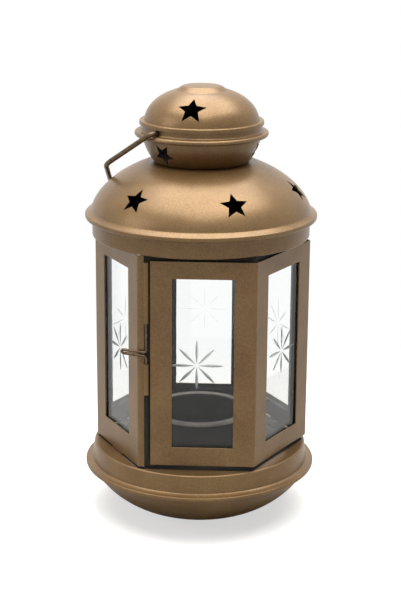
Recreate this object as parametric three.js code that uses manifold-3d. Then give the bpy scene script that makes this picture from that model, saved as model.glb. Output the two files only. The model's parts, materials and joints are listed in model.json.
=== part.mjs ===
// Hexagonal metal lantern for a tealight: crimped base and roof, six panes, a two-leaf door on a
// wire hinge, a turning wire latch, and a bail that swings on the small top chamber.
// Millimetres, +Z up, origin at the bottom centre of the foot, the door's front leaf facing -Y.
import * as THREE from 'three';
import { mergeVertices } from 'three/addons/utils/BufferGeometryUtils.js';
import Module from 'manifold-3d';

const wasm = await Module();
wasm.setup();

// Stock and clearances
const sheet = 0.6;
const glass = 2;
const fit = 0.3; // between pieces that rest on each other
const run = 0.15; // round a wire in its knuckle, on the radius
const past = 3; // how far a cutter reaches past its sheet

// Round stampings of base and roof
const drumRadius = 52.3;
const bowlOut = 2.5; // how far the bowl's rim stands out of the drum
const baseSeam = 1.9; // how far the base's bead stands out of the bowl
const domeOut = 1.15; // how far the dome's widest circle stands out of the drum
const roofCrimp = 3.4; // how far the roof's bead stands out of its skirt
const baseFlare = 6; // height over which the band curves out into its bead
const roofFlare = 3.3; // height over which the dome curves out into its bead
const edgeRound = 1.6;
const beadRound = 0.5;
const flareBelly = [0.35, 0.4]; // shares of a flare's width and height that it bulges towards
const baseBeadZ = 24;
const footRadius = 22;
const bowlFlank = [44, 4.4]; // radius and height that the bowl's flank bulges towards
const floorBand = 10.1;
const chamberHeight = 104.8;
const skirtHeight = 9.8;
const domeRise = 31.5;
const domePower = 1.89;
const domeSink = 1.3; // the dome's widest circle lies this far below the bead
const crownRadius = 26.5;
const crownHole = 16.5;
const ceilingHole = 34;

// Hexagon of the body, corner to corner, front to back, and the width of its front
const bodyAcross = 102.8;
const bodyDeep = 88.8;
const frontWidth = 54;
const bend = 0.9;
const bodyGapLow = 2.4; // from the floor to the sheet's lower edge, which its tabs reach below
const bodyStile = 10.98; // sheet left beside each window
const bodyRailLow = 11;
const bodyRailHigh = 8.6;
const headerDeep = 5; // strip of the body's sheet that crosses the doorway at its top
const paneLap = 2.5; // how far a pane reaches behind its window's edge

// Door
const doorProud = 1.37;
const doorGapLow = 2.7;
const doorGapHigh = 2.6;
const doorRailLow = 9;
const doorRailHigh = 8.3;
const frontStile = 10.1;
const rightStile = 10.9;
const latchGap = 0.65;
const doorLap = 2.2; // how far the body's strip reaches behind the door's free edge
const hingeKnuckles = 5;
const knuckleGap = 0.4;

// Wires and knuckles
const pinRadius = 0.65;
const knuckleWall = 0.45;
const knuckleInset = 3.9; // from the body's corner to the knuckle's axis
const knuckleProud = 1; // from the body's outer face to the knuckle's axis
const leafLap = 0.9; // how far a knuckle's leaf runs into its sheet
const pinHead = 0.8;

// Latch
const latchHeight = 57.8; // above the floor
const loopReach = 11.3;
const loopGap = 1.2; // between the loop's two legs
const loopRise = 1.5;
const legBend = 1.6;
const loopBend = 1.2;
const wireEnd = 0.5; // how far the wire stops short of its knuckle's end
const upperKnuckleUp = 14.6; // from the latch's loop to its upper knuckle
const upperKnuckleDrop = 0.7; // from the door's top edge to the upper knuckle's
const lowerKnuckleDrop = 5.1; // from the latch's loop down to its lower knuckle
const lowerKnuckleLong = 15.2;
const hemUp = 3.3; // from the door's lower edge to the strip's hem
const hemDrop = 1.1; // from the lower knuckle down to the hem
const hemWidth = 1.9;

// Candle cup
const cupRadius = 20.6;
const cupDeep = 14.4;
const lipWidth = 2.9;
const cupRound = 1.4;

// Top chamber
const neckRadius = 22.6;
const capHole = 14.5;
const capBowlDeep = 13.25;
const capRadius = 28.4;
const capFlank = 27.6; // radius that the bowl's flank bulges towards
const capCrimp = 3.45;
const bandHeight = 6.6;
const capDomeRise = 18;
const capDomeSink = 2.5;
const capDomeInset = 0.85;
const capDomePower = 2.18;
const bossRadius = 13.4;
const bossHeight = 2.65;
const skirtDrop = 1.9;
const skirtRound = 0.4;

// Punched five-point stars
const roofStarRadius = 7;
const capStarRadius = 7.1;
const bowlStarRadius = 6.1;
const starTips = 5;
const starWaist = 0.45;
const roofStarHeight = 14.8;
const roofStarTurn = -38.4;
const capStarHeight = 10.4;
const capStarTurn = -9;
const bowlStarTurn = -39.5;
const bowlStarDrop = 7.3;

// Bail
const bailWire = 1.2;
const bailRun = 0.25;
const bailTurn = -43;
const bailCornerOut = 3.9;
const bailLeg = 31.5;
const bailReach = 69.5;
const gripHalf = 5.3;
const bailClear = 0.4; // between the bail and the top chamber's bead
const boreLand = 0.1; // sheet left between the bail's bore and the bead
const pivotBend = 2.4;
const bailBend = 4;
const bailHead = 0.7; // how far the bail's end heads stand out of its wire
const bailHeadThick = 1;

// Fixings
const rivetShank = 1.2;
const rivetHead = 2.2;
const rivetRise = 1;
const rivetTail = 0.7;
const tabWidth = 12;
const tabDeep = 7;
const tabRivetIn = 4.2; // from the body's outer face to the tabs' rivets
const channelSheet = 0.5;
const channelFoot = 3.5;
const neckInset = 3.5; // from the neck's radius to its rivets
const capRivets = 3;

// Facets
const drumSides = 32;
const capSides = 24;
const starCount = 6;
const capStarCount = 3;

// Places worked out from the sizes above
const floorTop = baseBeadZ + floorBand;
const bodyLow = floorTop + fit;
const sheetLow = floorTop + bodyGapLow;
const ceilingLow = floorTop + chamberHeight;
const bodyHigh = ceilingLow - fit;
const roofBeadZ = ceilingLow + skirtHeight;
const bowlRadius = drumRadius + bowlOut;
const domeRadius = drumRadius + domeOut;
const baseBead = bowlRadius + baseSeam;
const roofBead = drumRadius + roofCrimp;
const doorLow = floorTop + doorGapLow;
const doorHigh = ceilingLow - doorGapHigh;
const bodyWindow = [sheetLow + bodyRailLow, bodyHigh - bodyRailHigh];
const doorWindow = [doorLow + doorRailLow, doorHigh - doorRailHigh];
const ringRadius = pinRadius + run + knuckleWall;
const boreRadius = pinRadius + run;
const latchZ = floorTop + latchHeight;
const upperKnuckle = [latchZ + upperKnuckleUp, doorHigh - upperKnuckleDrop];
const lowerKnuckle = [latchZ - lowerKnuckleDrop - lowerKnuckleLong, latchZ - lowerKnuckleDrop];
const stripHem = [doorLow + hemUp, lowerKnuckle[0] - hemDrop];
const hemHalf = 1.5 * sheet + fit;
const crownZ = roofBeadZ - domeSink + domeRise * bulgeHeight(crownRadius / domeRadius, domePower);
const capLow = crownZ + fit;
const capBeadZ = capLow + capBowlDeep + sheet / 2;
const capBandTop = capBeadZ + bandHeight - hemHalf;
const capBead = capRadius + capCrimp;
const bandRadius = capRadius + fit;
const pivotHalf = capBead + bailWire + bailClear;
const bailZ = capBeadZ + hemHalf + bailWire + bailRun + boreLand;

const corners = [
  [-bodyAcross / 2, 0],
  [-frontWidth / 2, -bodyDeep / 2],
  [frontWidth / 2, -bodyDeep / 2],
  [bodyAcross / 2, 0],
  [frontWidth / 2, bodyDeep / 2],
  [-frontWidth / 2, bodyDeep / 2],
].map(([x, y]) => new THREE.Vector2(x, y));
const [cornerA, cornerB, cornerC, cornerD, cornerE, cornerF] = corners;

const finish = {
  lacquer: { color: 0x8c7147, roughness: 0.42, metalness: 0.75 },
  wire: { color: 0x6b4a2c, roughness: 0.4, metalness: 0.75 },
  inside: { color: 0x3c3835, roughness: 0.6, metalness: 0.5 },
  clear: { color: 0xe8eeee, roughness: 0.05, metalness: 0 },
  steel: { color: 0x8a8580, roughness: 0.4, metalness: 0.9 },
};

const lantern = new THREE.Group();

// Height of a rounded dome, as a share of its rise, where its radius is the given share
function bulgeHeight(share, power) {
  return (1 - share ** power) ** (1 / power);
}

// Adds a named mesh with its own material
function addPiece(name, geometry, look) {
  const mesh = new THREE.Mesh(geometry, new THREE.MeshStandardMaterial(look));
  mesh.name = name;
  lantern.add(mesh);
  return mesh;
}

// Six times the signed volume of an indexed position list
function signedVolume(positions, index) {
  const [a, b, c] = [new THREE.Vector3(), new THREE.Vector3(), new THREE.Vector3()];
  let sum = 0;
  for (let i = 0; i < index.length; i += 3) {
    a.fromArray(positions, 3 * index[i]);
    b.fromArray(positions, 3 * index[i + 1]);
    c.fromArray(positions, 3 * index[i + 2]);
    sum += a.dot(b.cross(c));
  }
  return sum;
}

// Turns a closed three.js geometry into a solid that can be joined and cut
function toSolid(geometry) {
  const bare = geometry.clone();
  bare.deleteAttribute('normal');
  bare.deleteAttribute('uv');
  const merged = mergeVertices(bare, 1e-4);
  const positions = merged.attributes.position.array;
  const index = [];
  for (let i = 0; i < merged.index.count; i += 3) {
    const [a, b, c] = [0, 1, 2].map((k) => merged.index.getX(i + k));
    if (a !== b && b !== c && a !== c) index.push(a, b, c);
  }
  if (signedVolume(positions, index) < 0) index.reverse();
  const mesh = new wasm.Mesh({
    numProp: 3,
    vertProperties: new Float32Array(positions),
    triVerts: new Uint32Array(index),
  });
  return new wasm.Manifold(mesh);
}

// Turns a solid back into a three.js geometry
function toGeometry(solid) {
  const { vertProperties, triVerts } = solid.getMesh();
  const geometry = new THREE.BufferGeometry();
  geometry.setAttribute('position', new THREE.BufferAttribute(vertProperties, 3));
  geometry.setIndex(new THREE.BufferAttribute(triVerts, 1));
  geometry.computeVertexNormals();
  return geometry;
}

const joinAll = (solids) => solids.reduce((whole, next) => whole.add(next));
const cutAll = (solid, cutters) => cutters.reduce((whole, next) => whole.subtract(next), solid);

// A path moved sideways by a distance, to the left of its walking direction
function offsetPath(path, distance) {
  const leftOf = (a, b) => new THREE.Vector2(a.y - b.y, b.x - a.x).normalize();
  return path.map((point, i) => {
    const before = i > 0 ? leftOf(path[i - 1], point) : leftOf(point, path[1]);
    const after = i < path.length - 1 ? leftOf(point, path[i + 1]) : before;
    const mitre = before.clone().add(after).divideScalar(1 + before.dot(after));
    return point.clone().addScaledVector(mitre, distance);
  });
}

// Sheet of even thickness spun round the Z axis, from its outer face; side 1 puts the thickness left
function spunSheet(points, side, sides) {
  const face = points.map(([r, z]) => new THREE.Vector2(r, z));
  const back = offsetPath(face, side * sheet);
  const profile = [...face, ...back.reverse(), face[0].clone()];
  profile.forEach((point) => point.setX(Math.max(point.x, 0)));
  return toSolid(new THREE.LatheGeometry(profile, sides).rotateX(Math.PI / 2));
}

// Points of a rounded dome from one share of its rise to another, upwards for a positive rise
function bulge(radius, z, rise, power, from, to, count) {
  const angle = (share) => Math.asin(share ** (power / 2));
  return Array.from({ length: count + 1 }, (_, i) => {
    const turn = THREE.MathUtils.lerp(angle(from), angle(to), i / count);
    return [radius * Math.cos(turn) ** (2 / power), z + rise * Math.sin(turn) ** (2 / power)];
  });
}

// Upright round bar between two heights
function bar(x, y, radius, low, high, sides = 12) {
  const geometry = new THREE.CylinderGeometry(radius, radius, high - low, sides);
  return toSolid(geometry.rotateX(Math.PI / 2).translate(x, y, (low + high) / 2));
}

// Block between two corners, placed by a matrix
function block(low, high, matrix = new THREE.Matrix4()) {
  const size = high.map((value, i) => value - low[i]);
  const middle = high.map((value, i) => (value + low[i]) / 2);
  return toSolid(new THREE.BoxGeometry(...size).translate(...middle).applyMatrix4(matrix));
}

// Frame of one side of the hexagon: X along it, Y up, Z outwards, origin at its middle on the floor
function sideFrame(from, to) {
  const along = new THREE.Vector3(to.x - from.x, to.y - from.y, 0).normalize();
  const up = new THREE.Vector3(0, 0, 1);
  const out = along.clone().cross(up);
  const middle = from.clone().add(to).multiplyScalar(0.5);
  return new THREE.Matrix4().makeBasis(along, up, out).setPosition(middle.x, middle.y, 0);
}

// Point at a distance from one corner towards the next, moved outwards
function onSide(from, to, distance, outwards = 0) {
  const along = to.clone().sub(from).normalize();
  const out = new THREE.Vector2(along.y, -along.x);
  return from.clone().addScaledVector(along, distance).addScaledVector(out, outwards);
}

// Upright bent sheet: its path is the outer face, its corners are rounded and it turns left
function bentSheet(path, low, high) {
  const outer = [];
  const inner = [];
  const radius = bend + sheet;
  path.forEach((point, i) => {
    if (i === 0 || i === path.length - 1) {
      const [a, b] = i === 0 ? [point, path[1]] : [path[i - 1], point];
      outer.push(point.clone());
      inner.push(point.clone().add(onSide(a, b, 0, -sheet).sub(a)));
      return;
    }
    const first = point.clone().sub(path[i - 1]).normalize();
    const second = path[i + 1].clone().sub(point).normalize();
    const half = Math.acos(first.dot(second)) / 2;
    const inward = second.clone().sub(first).normalize();
    const centre = point.clone().addScaledVector(inward, radius / Math.cos(half));
    for (const turn of [-1, -1 / 3, 1 / 3, 1]) {
      const ray = inward.clone().negate().rotateAround(new THREE.Vector2(), turn * half);
      outer.push(centre.clone().addScaledVector(ray, radius));
      inner.push(centre.clone().addScaledVector(ray, bend));
    }
  });
  const shape = new THREE.Shape([...outer, ...inner.reverse()]);
  const geometry = new THREE.ExtrudeGeometry(shape, { depth: high - low, bevelEnabled: false });
  return toSolid(geometry.translate(0, 0, low));
}

// Cutter for a star punched through a spun sheet, its tip up the slope or, for a negative size, down
function starCutter(size, turn, radius, z, slope) {
  const shape = new THREE.Shape();
  for (let i = 0; i < 2 * starTips; i += 1) {
    const reach = (i % 2 ? starWaist : 1) * size;
    const angle = (i * Math.PI) / starTips;
    const step = i ? 'lineTo' : 'moveTo';
    shape[step](-reach * Math.sin(angle), reach * Math.cos(angle));
  }
  const geometry = new THREE.ExtrudeGeometry(shape, { depth: 2 * past, bevelEnabled: false });
  geometry.translate(0, 0, -past);
  geometry.rotateX(Math.PI / 2 - slope);
  geometry.translate(0, -radius, z);
  return toSolid(geometry.rotateZ(THREE.MathUtils.degToRad(turn)));
}

// Stars spread evenly round a dome or bowl, on the slope that its curve has there
function starRing(count, size, turn, curve, z) {
  const step = 0.5;
  const slope = Math.atan2(curve(z - step) - curve(z + step), 2 * step);
  const cutter = (i) => starCutter(size, turn + (360 / count) * i, curve(z), z, slope);
  return Array.from({ length: count }, (_, i) => cutter(i));
}

// Rim folded round a flange, from its upper face to the end of the lip under the flange
function foldedRim(bead, beadZ, lip) {
  const [top, low] = [beadZ + hemHalf, beadZ - hemHalf];
  return [
    [bead - beadRound, top],
    [bead, top - beadRound],
    [bead, low + beadRound],
    [bead - beadRound, low],
    [lip, low],
  ];
}

// Wall that curves out over a height into its folded rim
function flaredRim(wall, bead, beadZ, height, lip) {
  const rim = foldedRim(bead, beadZ, lip);
  const top = new THREE.Vector2(wall, beadZ + hemHalf + height);
  const end = new THREE.Vector2(...rim[0]);
  const [out, up] = flareBelly;
  const belly = new THREE.Vector2(THREE.MathUtils.lerp(top.x, end.x, out), end.y + height * up);
  const flare = new THREE.QuadraticBezierCurve(top, belly, end).getPoints(4);
  return [...flare.slice(0, -1).map((point) => [point.x, point.y]), ...rim];
}

// Rounded edge between a flat plate and its upright wall, walked from the plate
function plateEdge(plateZ, away) {
  return [0, 1 / 2, 1].map((share) => {
    const angle = (share * Math.PI) / 2;
    const inset = edgeRound * (1 - Math.sin(angle));
    return [drumRadius - inset, plateZ + away * edgeRound * (1 - Math.cos(angle))];
  });
}

// Stamped bowl, from its flat foot to the flange that the floor plate's band is folded round
function buildBaseBowl() {
  const flange = baseBeadZ - sheet / 2;
  const flank = new THREE.QuadraticBezierCurve(
    new THREE.Vector2(footRadius, 0),
    new THREE.Vector2(...bowlFlank),
    new THREE.Vector2(bowlRadius, flange),
  );
  const curve = flank.getPoints(8).map((point) => [point.x, point.y]);
  const bowl = [[0, 0], ...curve, [baseBead - sheet - fit, flange]];
  addPiece('base_bowl', toGeometry(spunSheet(bowl, 1, drumSides)), finish.lacquer);
}

// Floor plate with its band and bead
function buildBaseCover() {
  const edge = flaredRim(drumRadius, baseBead, baseBeadZ, baseFlare, bowlRadius + fit);
  const cover = [[rivetShank + fit, floorTop], ...plateEdge(floorTop, -1), ...edge];
  const holes = tabPoints().map((point) => rivetHole(point, floorTop));
  addPiece('base_cover', toGeometry(cutAll(spunSheet(cover, -1, drumSides), holes)), finish.lacquer);
}

// Radius of the roof's dome at a height
function domeAt(z) {
  return domeRadius * bulgeHeight((z - roofBeadZ + domeSink) / domeRise, domePower);
}

// Outer face of the roof's dome, from its hole to the lip under its bead
function domeFace(count) {
  const middle = roofBeadZ - domeSink;
  const foot = roofBeadZ + hemHalf + roofFlare;
  const [from, to] = [foot, crownZ].map((z) => (z - middle) / domeRise);
  const curve = bulge(domeRadius, middle, domeRise, domePower, from, to, count).reverse();
  const edge = flaredRim(domeAt(foot), roofBead, roofBeadZ, roofFlare, drumRadius + fit);
  return [[crownHole, crownZ], ...curve.slice(0, -1), ...edge];
}

function buildRoofDome() {
  const starZ = roofBeadZ - domeSink + roofStarHeight;
  const stars = starRing(starCount, roofStarRadius, roofStarTurn, domeAt, starZ);
  const holes = neckPoints().map((point) => rivetHole(point, crownZ));
  const pierced = cutAll(spunSheet(domeFace(6), -1, drumSides), [...stars, ...holes]);
  addPiece('roof_dome', toGeometry(pierced), finish.lacquer);
}

// Ceiling plate with its skirt and the flange that the dome's edge is folded round
function buildRoofRing() {
  const flange = roofBeadZ - sheet / 2;
  const outline = [[ceilingHole, ceilingLow], ...plateEdge(ceilingLow, 1)];
  outline.push([drumRadius, flange], [roofBead - sheet - fit, flange]);
  const holes = tabPoints().map((point) => rivetHole(point, ceilingLow));
  addPiece('roof_ring', toGeometry(cutAll(spunSheet(outline, 1, drumSides), holes)), finish.lacquer);
}

// The four fixed sides, in the order of the sheet's path
const fixedSides = [
  ['back_right', cornerD, cornerE],
  ['back', cornerE, cornerF],
  ['back_left', cornerF, cornerA],
  ['left', cornerA, cornerB],
];

// Rivet places on the turned-in tabs
function tabPoints() {
  return fixedSides.map(([, from, to]) => {
    return onSide(from, to, from.distanceTo(to) / 2, -tabRivetIn);
  });
}

// Rivet places between the top chamber and the roof
function neckPoints() {
  const first = new THREE.Vector2(0, neckRadius - neckInset);
  return Array.from({ length: capRivets }, (_, i) => {
    return first.clone().rotateAround(new THREE.Vector2(), (2 * Math.PI * i) / capRivets);
  });
}

function rivetHole(point, z) {
  return bar(point.x, point.y, rivetShank + fit, z - past, z + past, 8);
}

// Rivet through a stack of sheets between two heights, domed above and flat below
function rivet(point, low, high) {
  const [seat, under] = [high + fit, low - fit];
  const profile = [
    [0, seat + rivetRise],
    [rivetHead * 0.6, seat + rivetRise * 0.85],
    [rivetHead, seat],
    [rivetShank, seat],
    [rivetShank, under],
    [rivetHead, under],
    [rivetHead, under - rivetTail],
    [0, under - rivetTail],
  ].map(([r, z]) => new THREE.Vector2(r, z));
  const geometry = new THREE.LatheGeometry(profile, 8).rotateX(Math.PI / 2);
  return toSolid(geometry.translate(point.x, point.y, 0));
}

function addRivets(name, points, low, high) {
  points.forEach((point, i) => {
    const label = points.length > 1 ? `${name}_${i + 1}` : name;
    addPiece(label, toGeometry(rivet(point, low, high)), finish.steel);
  });
}

function buildRivets() {
  const tabs = tabPoints();
  addRivets('base_rivet', tabs, floorTop - sheet, bodyLow + sheet);
  addRivets('roof_rivet', tabs, bodyHigh - sheet, ceilingLow + sheet);
  addRivets('cap_rivet', neckPoints(), crownZ - sheet, capLow + sheet);
  addRivets('cup_rivet', [new THREE.Vector2()], floorTop - sheet, bodyLow + sheet);
}

function buildCup() {
  const low = floorTop + fit;
  const wall = cupRadius + sheet;
  const lipZ = low + cupDeep;
  const lip = [[0.1, 0.5], [0.35, 0.9], [0.72, 0.7], [1, -0.3]];
  const points = [
    [rivetShank + fit, low],
    [wall - cupRound, low],
    [wall - cupRound * 0.3, low + cupRound * 0.3],
    [wall, low + cupRound],
    [wall, lipZ - sheet],
    ...lip.map(([out, rise]) => [wall + lipWidth * out, lipZ + rise]),
  ];
  addPiece('candle_cup', toGeometry(spunSheet(points, 1, capSides)), finish.inside);
}

const windowWidth = (from, to, stile) => from.distanceTo(to) - 2 * stile;

// Window through one side
function windowCutter(from, to, stile, low, high) {
  const half = windowWidth(from, to, stile) / 2;
  return block([-half, low, -past], [half, high, past], sideFrame(from, to));
}

// Rolled knuckle with the short leaf that joins it to its sheet
function knuckle(axis, low, high, leaf) {
  return [bar(axis.x, axis.y, ringRadius, low, high), block([...leaf[0]], [...leaf[1]], leaf[2])];
}

const hingeAxis = onSide(cornerD, cornerE, knuckleInset, knuckleProud);
const latchAxis = onSide(cornerB, cornerC, knuckleInset, knuckleProud);
const hingeFrame = sideFrame(cornerD, cornerE);
const latchFrame = sideFrame(cornerB, cornerC);
const backSide = cornerD.distanceTo(cornerE);

// Heights of every knuckle of the hinge, from the lowest
function hingeSteps() {
  const step = (doorHigh - doorLow + knuckleGap) / hingeKnuckles;
  return Array.from({ length: hingeKnuckles }, (_, i) => {
    const low = doorLow + i * step;
    return [low, low + step - knuckleGap];
  });
}

function buildBody() {
  const clear = ringRadius + fit;
  const start = onSide(cornerD, cornerE, knuckleInset + clear);
  const stripEnd = knuckleInset - pinRadius - run - fit;
  const end = onSide(cornerB, cornerC, knuckleInset + ringRadius + latchGap + doorLap);
  const header = onSide(cornerB, cornerC, knuckleInset);
  const parts = [
    bentSheet([start, cornerE, cornerF, cornerA, cornerB, end], sheetLow, bodyHigh),
    bentSheet([header, cornerC, cornerD, start], bodyHigh - headerDeep, bodyHigh),
  ];
  const hingeX = knuckleInset - backSide / 2;
  const latchX = knuckleInset - frontWidth / 2;
  hingeSteps().forEach(([low, high], i) => {
    if (i % 2) return;
    const leaf = [[hingeX, low, -sheet], [hingeX + clear + leafLap, high, 0], hingeFrame];
    parts.push(...knuckle(hingeAxis, low, high, leaf));
  });
  const hemX = stripEnd - frontWidth / 2;
  for (const [low, high] of [upperKnuckle, lowerKnuckle]) {
    const leaf = [[hemX - leafLap, low, -sheet], [latchX, high, 0], latchFrame];
    parts.push(...knuckle(latchAxis, low, high, leaf));
  }
  parts.push(block([hemX, stripHem[0], -sheet / 2], [hemX + hemWidth, stripHem[1], sheet], latchFrame));
  const half = tabWidth / 2;
  const cutters = [];
  for (const [, from, to] of fixedSides) {
    const frame = sideFrame(from, to);
    parts.push(block([-half, bodyLow, -sheet], [half, sheetLow + leafLap, 0], frame));
    parts.push(block([-half, bodyLow, -tabDeep], [half, bodyLow + sheet, -sheet / 2], frame));
    parts.push(block([-half, bodyHigh - sheet, -tabDeep], [half, bodyHigh, -sheet / 2], frame));
    cutters.push(windowCutter(from, to, bodyStile, ...bodyWindow));
  }
  cutters.push(bar(hingeAxis.x, hingeAxis.y, boreRadius, bodyLow - past, bodyHigh + past));
  cutters.push(bar(latchAxis.x, latchAxis.y, boreRadius, lowerKnuckle[0] - fit, upperKnuckle[1] + fit));
  cutters.push(bar(hingeAxis.x, hingeAxis.y, knuckleProud + sheet + fit, doorHigh, bodyHigh + past));
  for (const point of tabPoints()) {
    cutters.push(rivetHole(point, bodyLow), rivetHole(point, bodyHigh));
  }
  addPiece('body_frame', toGeometry(cutAll(joinAll(parts), cutters)), finish.lacquer);
}

// The door's outer face: its corners, standing proud of the body
const doorCorners = offsetPath([cornerB, cornerC, cornerD, cornerE], -doorProud);
const doorFree = onSide(cornerB, cornerC, knuckleInset + ringRadius + latchGap, doorProud);
const doorSides = [
  ['front', doorFree, doorCorners[1], frontStile],
  ['right', doorCorners[1], doorCorners[2], rightStile],
];

function buildDoor() {
  const returnEnd = onSide(cornerD, cornerE, knuckleInset - ringRadius - fit, doorProud);
  const path = [doorFree, doorCorners[1], doorCorners[2], returnEnd];
  const parts = [bentSheet(path, doorLow, doorHigh)];
  const hingeX = knuckleInset - backSide / 2;
  hingeSteps().forEach(([low, high], i) => {
    if (i % 2 === 0) return;
    const inner = doorProud - sheet;
    const from = hingeX - ringRadius - fit - leafLap;
    const leaf = [[from, low, inner], [hingeX, high, doorProud], hingeFrame];
    parts.push(...knuckle(hingeAxis, low, high, leaf));
  });
  const cutters = doorSides.map(([, ...place]) => windowCutter(...place, ...doorWindow));
  cutters.push(bar(hingeAxis.x, hingeAxis.y, boreRadius, doorLow - past, doorHigh + past));
  addPiece('door_frame', toGeometry(cutAll(joinAll(parts), cutters)), finish.lacquer);
}

// A pane behind its window
function addPane(name, frame, opening, low, high) {
  const width = opening + 2 * paneLap;
  const height = high - low + 2 * paneLap;
  const geometry = new THREE.BoxGeometry(width, height, glass);
  geometry.translate(0, (low + high) / 2, -sheet - fit - glass / 2).applyMatrix4(frame);
  addPiece(name, geometry, finish.clear);
}

// Folded channel that an upright edge of a pane stands in, with a lug under the pane's corner
function paneChannel(frame, opening, side, low, high) {
  const front = -sheet - fit;
  const back = front - glass - fit;
  const outline = [
    [fit - paneLap, back],
    [fit, back],
    [fit, front],
    [fit + channelFoot, front],
    [fit + channelFoot, front - channelSheet],
    [fit + channelSheet, front - channelSheet],
    [fit + channelSheet, back - channelSheet],
    [fit - paneLap, back - channelSheet],
  ];
  const shape = new THREE.Shape(outline.map(([x, y]) => new THREE.Vector2(x, y)));
  const edge = opening / 2 + paneLap;
  const bottom = low - paneLap - fit - channelSheet;
  const top = high + paneLap;
  const place = frame.clone().scale(new THREE.Vector3(side, 1, 1));
  const strip = new THREE.ExtrudeGeometry(shape, { depth: top - bottom, bevelEnabled: false });
  strip.rotateX(Math.PI / 2).translate(edge, top, 0).applyMatrix4(place);
  const lugLow = [edge + fit - paneLap, bottom, back - channelSheet / 2];
  const lugHigh = [edge + fit + channelSheet / 2, bottom + channelSheet, front];
  return toSolid(strip).add(block(lugLow, lugHigh, place));
}

function buildPanes() {
  const glazed = [
    ...fixedSides.map((place) => ['', bodyWindow, ...place, bodyStile]),
    ...doorSides.map((place) => ['door_', doorWindow, ...place]),
  ];
  for (const [leaf, heights, side, from, to, stile] of glazed) {
    const frame = sideFrame(from, to);
    const opening = windowWidth(from, to, stile);
    addPane(`${leaf}glass_${side}`, frame, opening, ...heights);
    for (const [mark, hand] of [['1', -1], ['2', 1]]) {
      const channel = toGeometry(paneChannel(frame, opening, hand, ...heights));
      addPiece(`${leaf}channel_${side}_${mark}`, channel, finish.lacquer);
    }
  }
}

// Curve through points with rounded corners
function roundedPath(points, radii) {
  const path = new THREE.CurvePath();
  let from = points[0];
  for (let i = 1; i < points.length - 1; i += 1) {
    const into = points[i - 1].clone().sub(points[i]).setLength(radii[i - 1]).add(points[i]);
    const out = points[i + 1].clone().sub(points[i]).setLength(radii[i - 1]).add(points[i]);
    path.add(new THREE.LineCurve3(from, into));
    path.add(new THREE.QuadraticBezierCurve3(into, points[i], out));
    from = out;
  }
  path.add(new THREE.LineCurve3(from, points[points.length - 1]));
  return path;
}

// Round wire along a path
function wire(path, radius, steps, sides) {
  const shape = new THREE.Shape().absarc(0, 0, radius, 0, 2 * Math.PI);
  const options = { steps, curveSegments: sides / 2, extrudePath: path, bevelEnabled: false };
  return toSolid(new THREE.ExtrudeGeometry(shape, options));
}

function buildHingePin() {
  const { x, y } = hingeAxis;
  const [low, high] = [doorLow - fit - pinHead, doorHigh + fit];
  const shank = bar(x, y, pinRadius, low, high + pinHead, 8);
  const heads = [low, high].map((z) => bar(x, y, ringRadius - run, z, z + pinHead, 8));
  addPiece('hinge_pin', toGeometry(joinAll([shank, ...heads])), finish.wire);
}

function buildLatch() {
  const { x, y } = latchAxis;
  const at = (reach, z) => new THREE.Vector3(x - reach, y, z);
  const leg = loopGap / 2 + pinRadius;
  const path = roundedPath([
    at(0, lowerKnuckle[0] + wireEnd),
    at(0, latchZ - leg),
    at(loopReach, latchZ - leg + loopRise),
    at(loopReach, latchZ + leg + loopRise),
    at(0, latchZ + leg),
    at(0, upperKnuckle[1] - wireEnd),
  ], [legBend, loopBend, loopBend, legBend]);
  addPiece('latch_wire', toGeometry(wire(path, pinRadius, 52, 6)), finish.wire);
}

function buildCapBowl() {
  const flange = capBeadZ - sheet / 2;
  const flank = new THREE.QuadraticBezierCurve(
    new THREE.Vector2(neckRadius, capLow),
    new THREE.Vector2(capFlank, (capLow + flange) / 2),
    new THREE.Vector2(capRadius, flange),
  );
  const curve = flank.getPoints(5).map((point) => [point.x, point.y]);
  const bowl = [[capHole, capLow], ...curve, [capBead - sheet - fit, flange]];
  const radiusAt = (z) => flank.getPoint((z - capLow) / (flange - capLow)).x;
  const starZ = flange - bowlStarDrop;
  const stars = starRing(capStarCount, -bowlStarRadius, bowlStarTurn, radiusAt, starZ);
  const holes = neckPoints().map((point) => rivetHole(point, capLow));
  const pierced = cutAll(spunSheet(bowl, 1, capSides), [...stars, ...holes]);
  addPiece('cap_bowl', toGeometry(pierced), finish.lacquer);
}

// Band whose foot is folded round the bowl's flange, with the two holes for the bail
function buildCapBand() {
  const rim = foldedRim(capBead, capBeadZ, bandRadius);
  const band = [[bandRadius, capBandTop], [bandRadius, capBeadZ + hemHalf], ...rim];
  const through = 2 * (capBead + past);
  const bore = new THREE.CylinderGeometry(bailWire + bailRun, bailWire + bailRun, through, 10);
  bore.rotateZ(THREE.MathUtils.degToRad(bailTurn)).translate(0, 0, bailZ);
  const ring = spunSheet(band, -1, capSides).subtract(toSolid(bore));
  addPiece('cap_band', toGeometry(ring), finish.lacquer);
}

function buildCapDome() {
  const skirt = bandRadius + fit + sheet;
  const flat = capBandTop + fit + sheet;
  const middle = flat - capDomeSink;
  const lidRadius = capRadius - capDomeInset;
  const share = bulgeHeight(bossRadius / lidRadius, capDomePower);
  const foot = capDomeSink / capDomeRise;
  const shell = bulge(lidRadius, middle, capDomeRise, capDomePower, foot, share, 6);
  const bossZ = middle + capDomeRise * share;
  const boss = [[0, 1], [0.45, 0.87], [0.75, 0.56], [0.9, 0.16]];
  const dome = [
    ...boss.map(([out, rise]) => [bossRadius * out, bossZ + bossHeight * rise]),
    ...shell.reverse(),
    [skirt - skirtRound, flat],
    [skirt, flat - skirtRound],
    [skirt, flat - skirtDrop],
  ];
  const radiusAt = (z) => lidRadius * bulgeHeight((z - middle) / capDomeRise, capDomePower);
  const stars = starRing(capStarCount, capStarRadius, capStarTurn, radiusAt, middle + capStarHeight);
  const cover = cutAll(spunSheet(dome, -1, capSides), stars);
  addPiece('cap_dome', toGeometry(cover), finish.lacquer);
}

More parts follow.
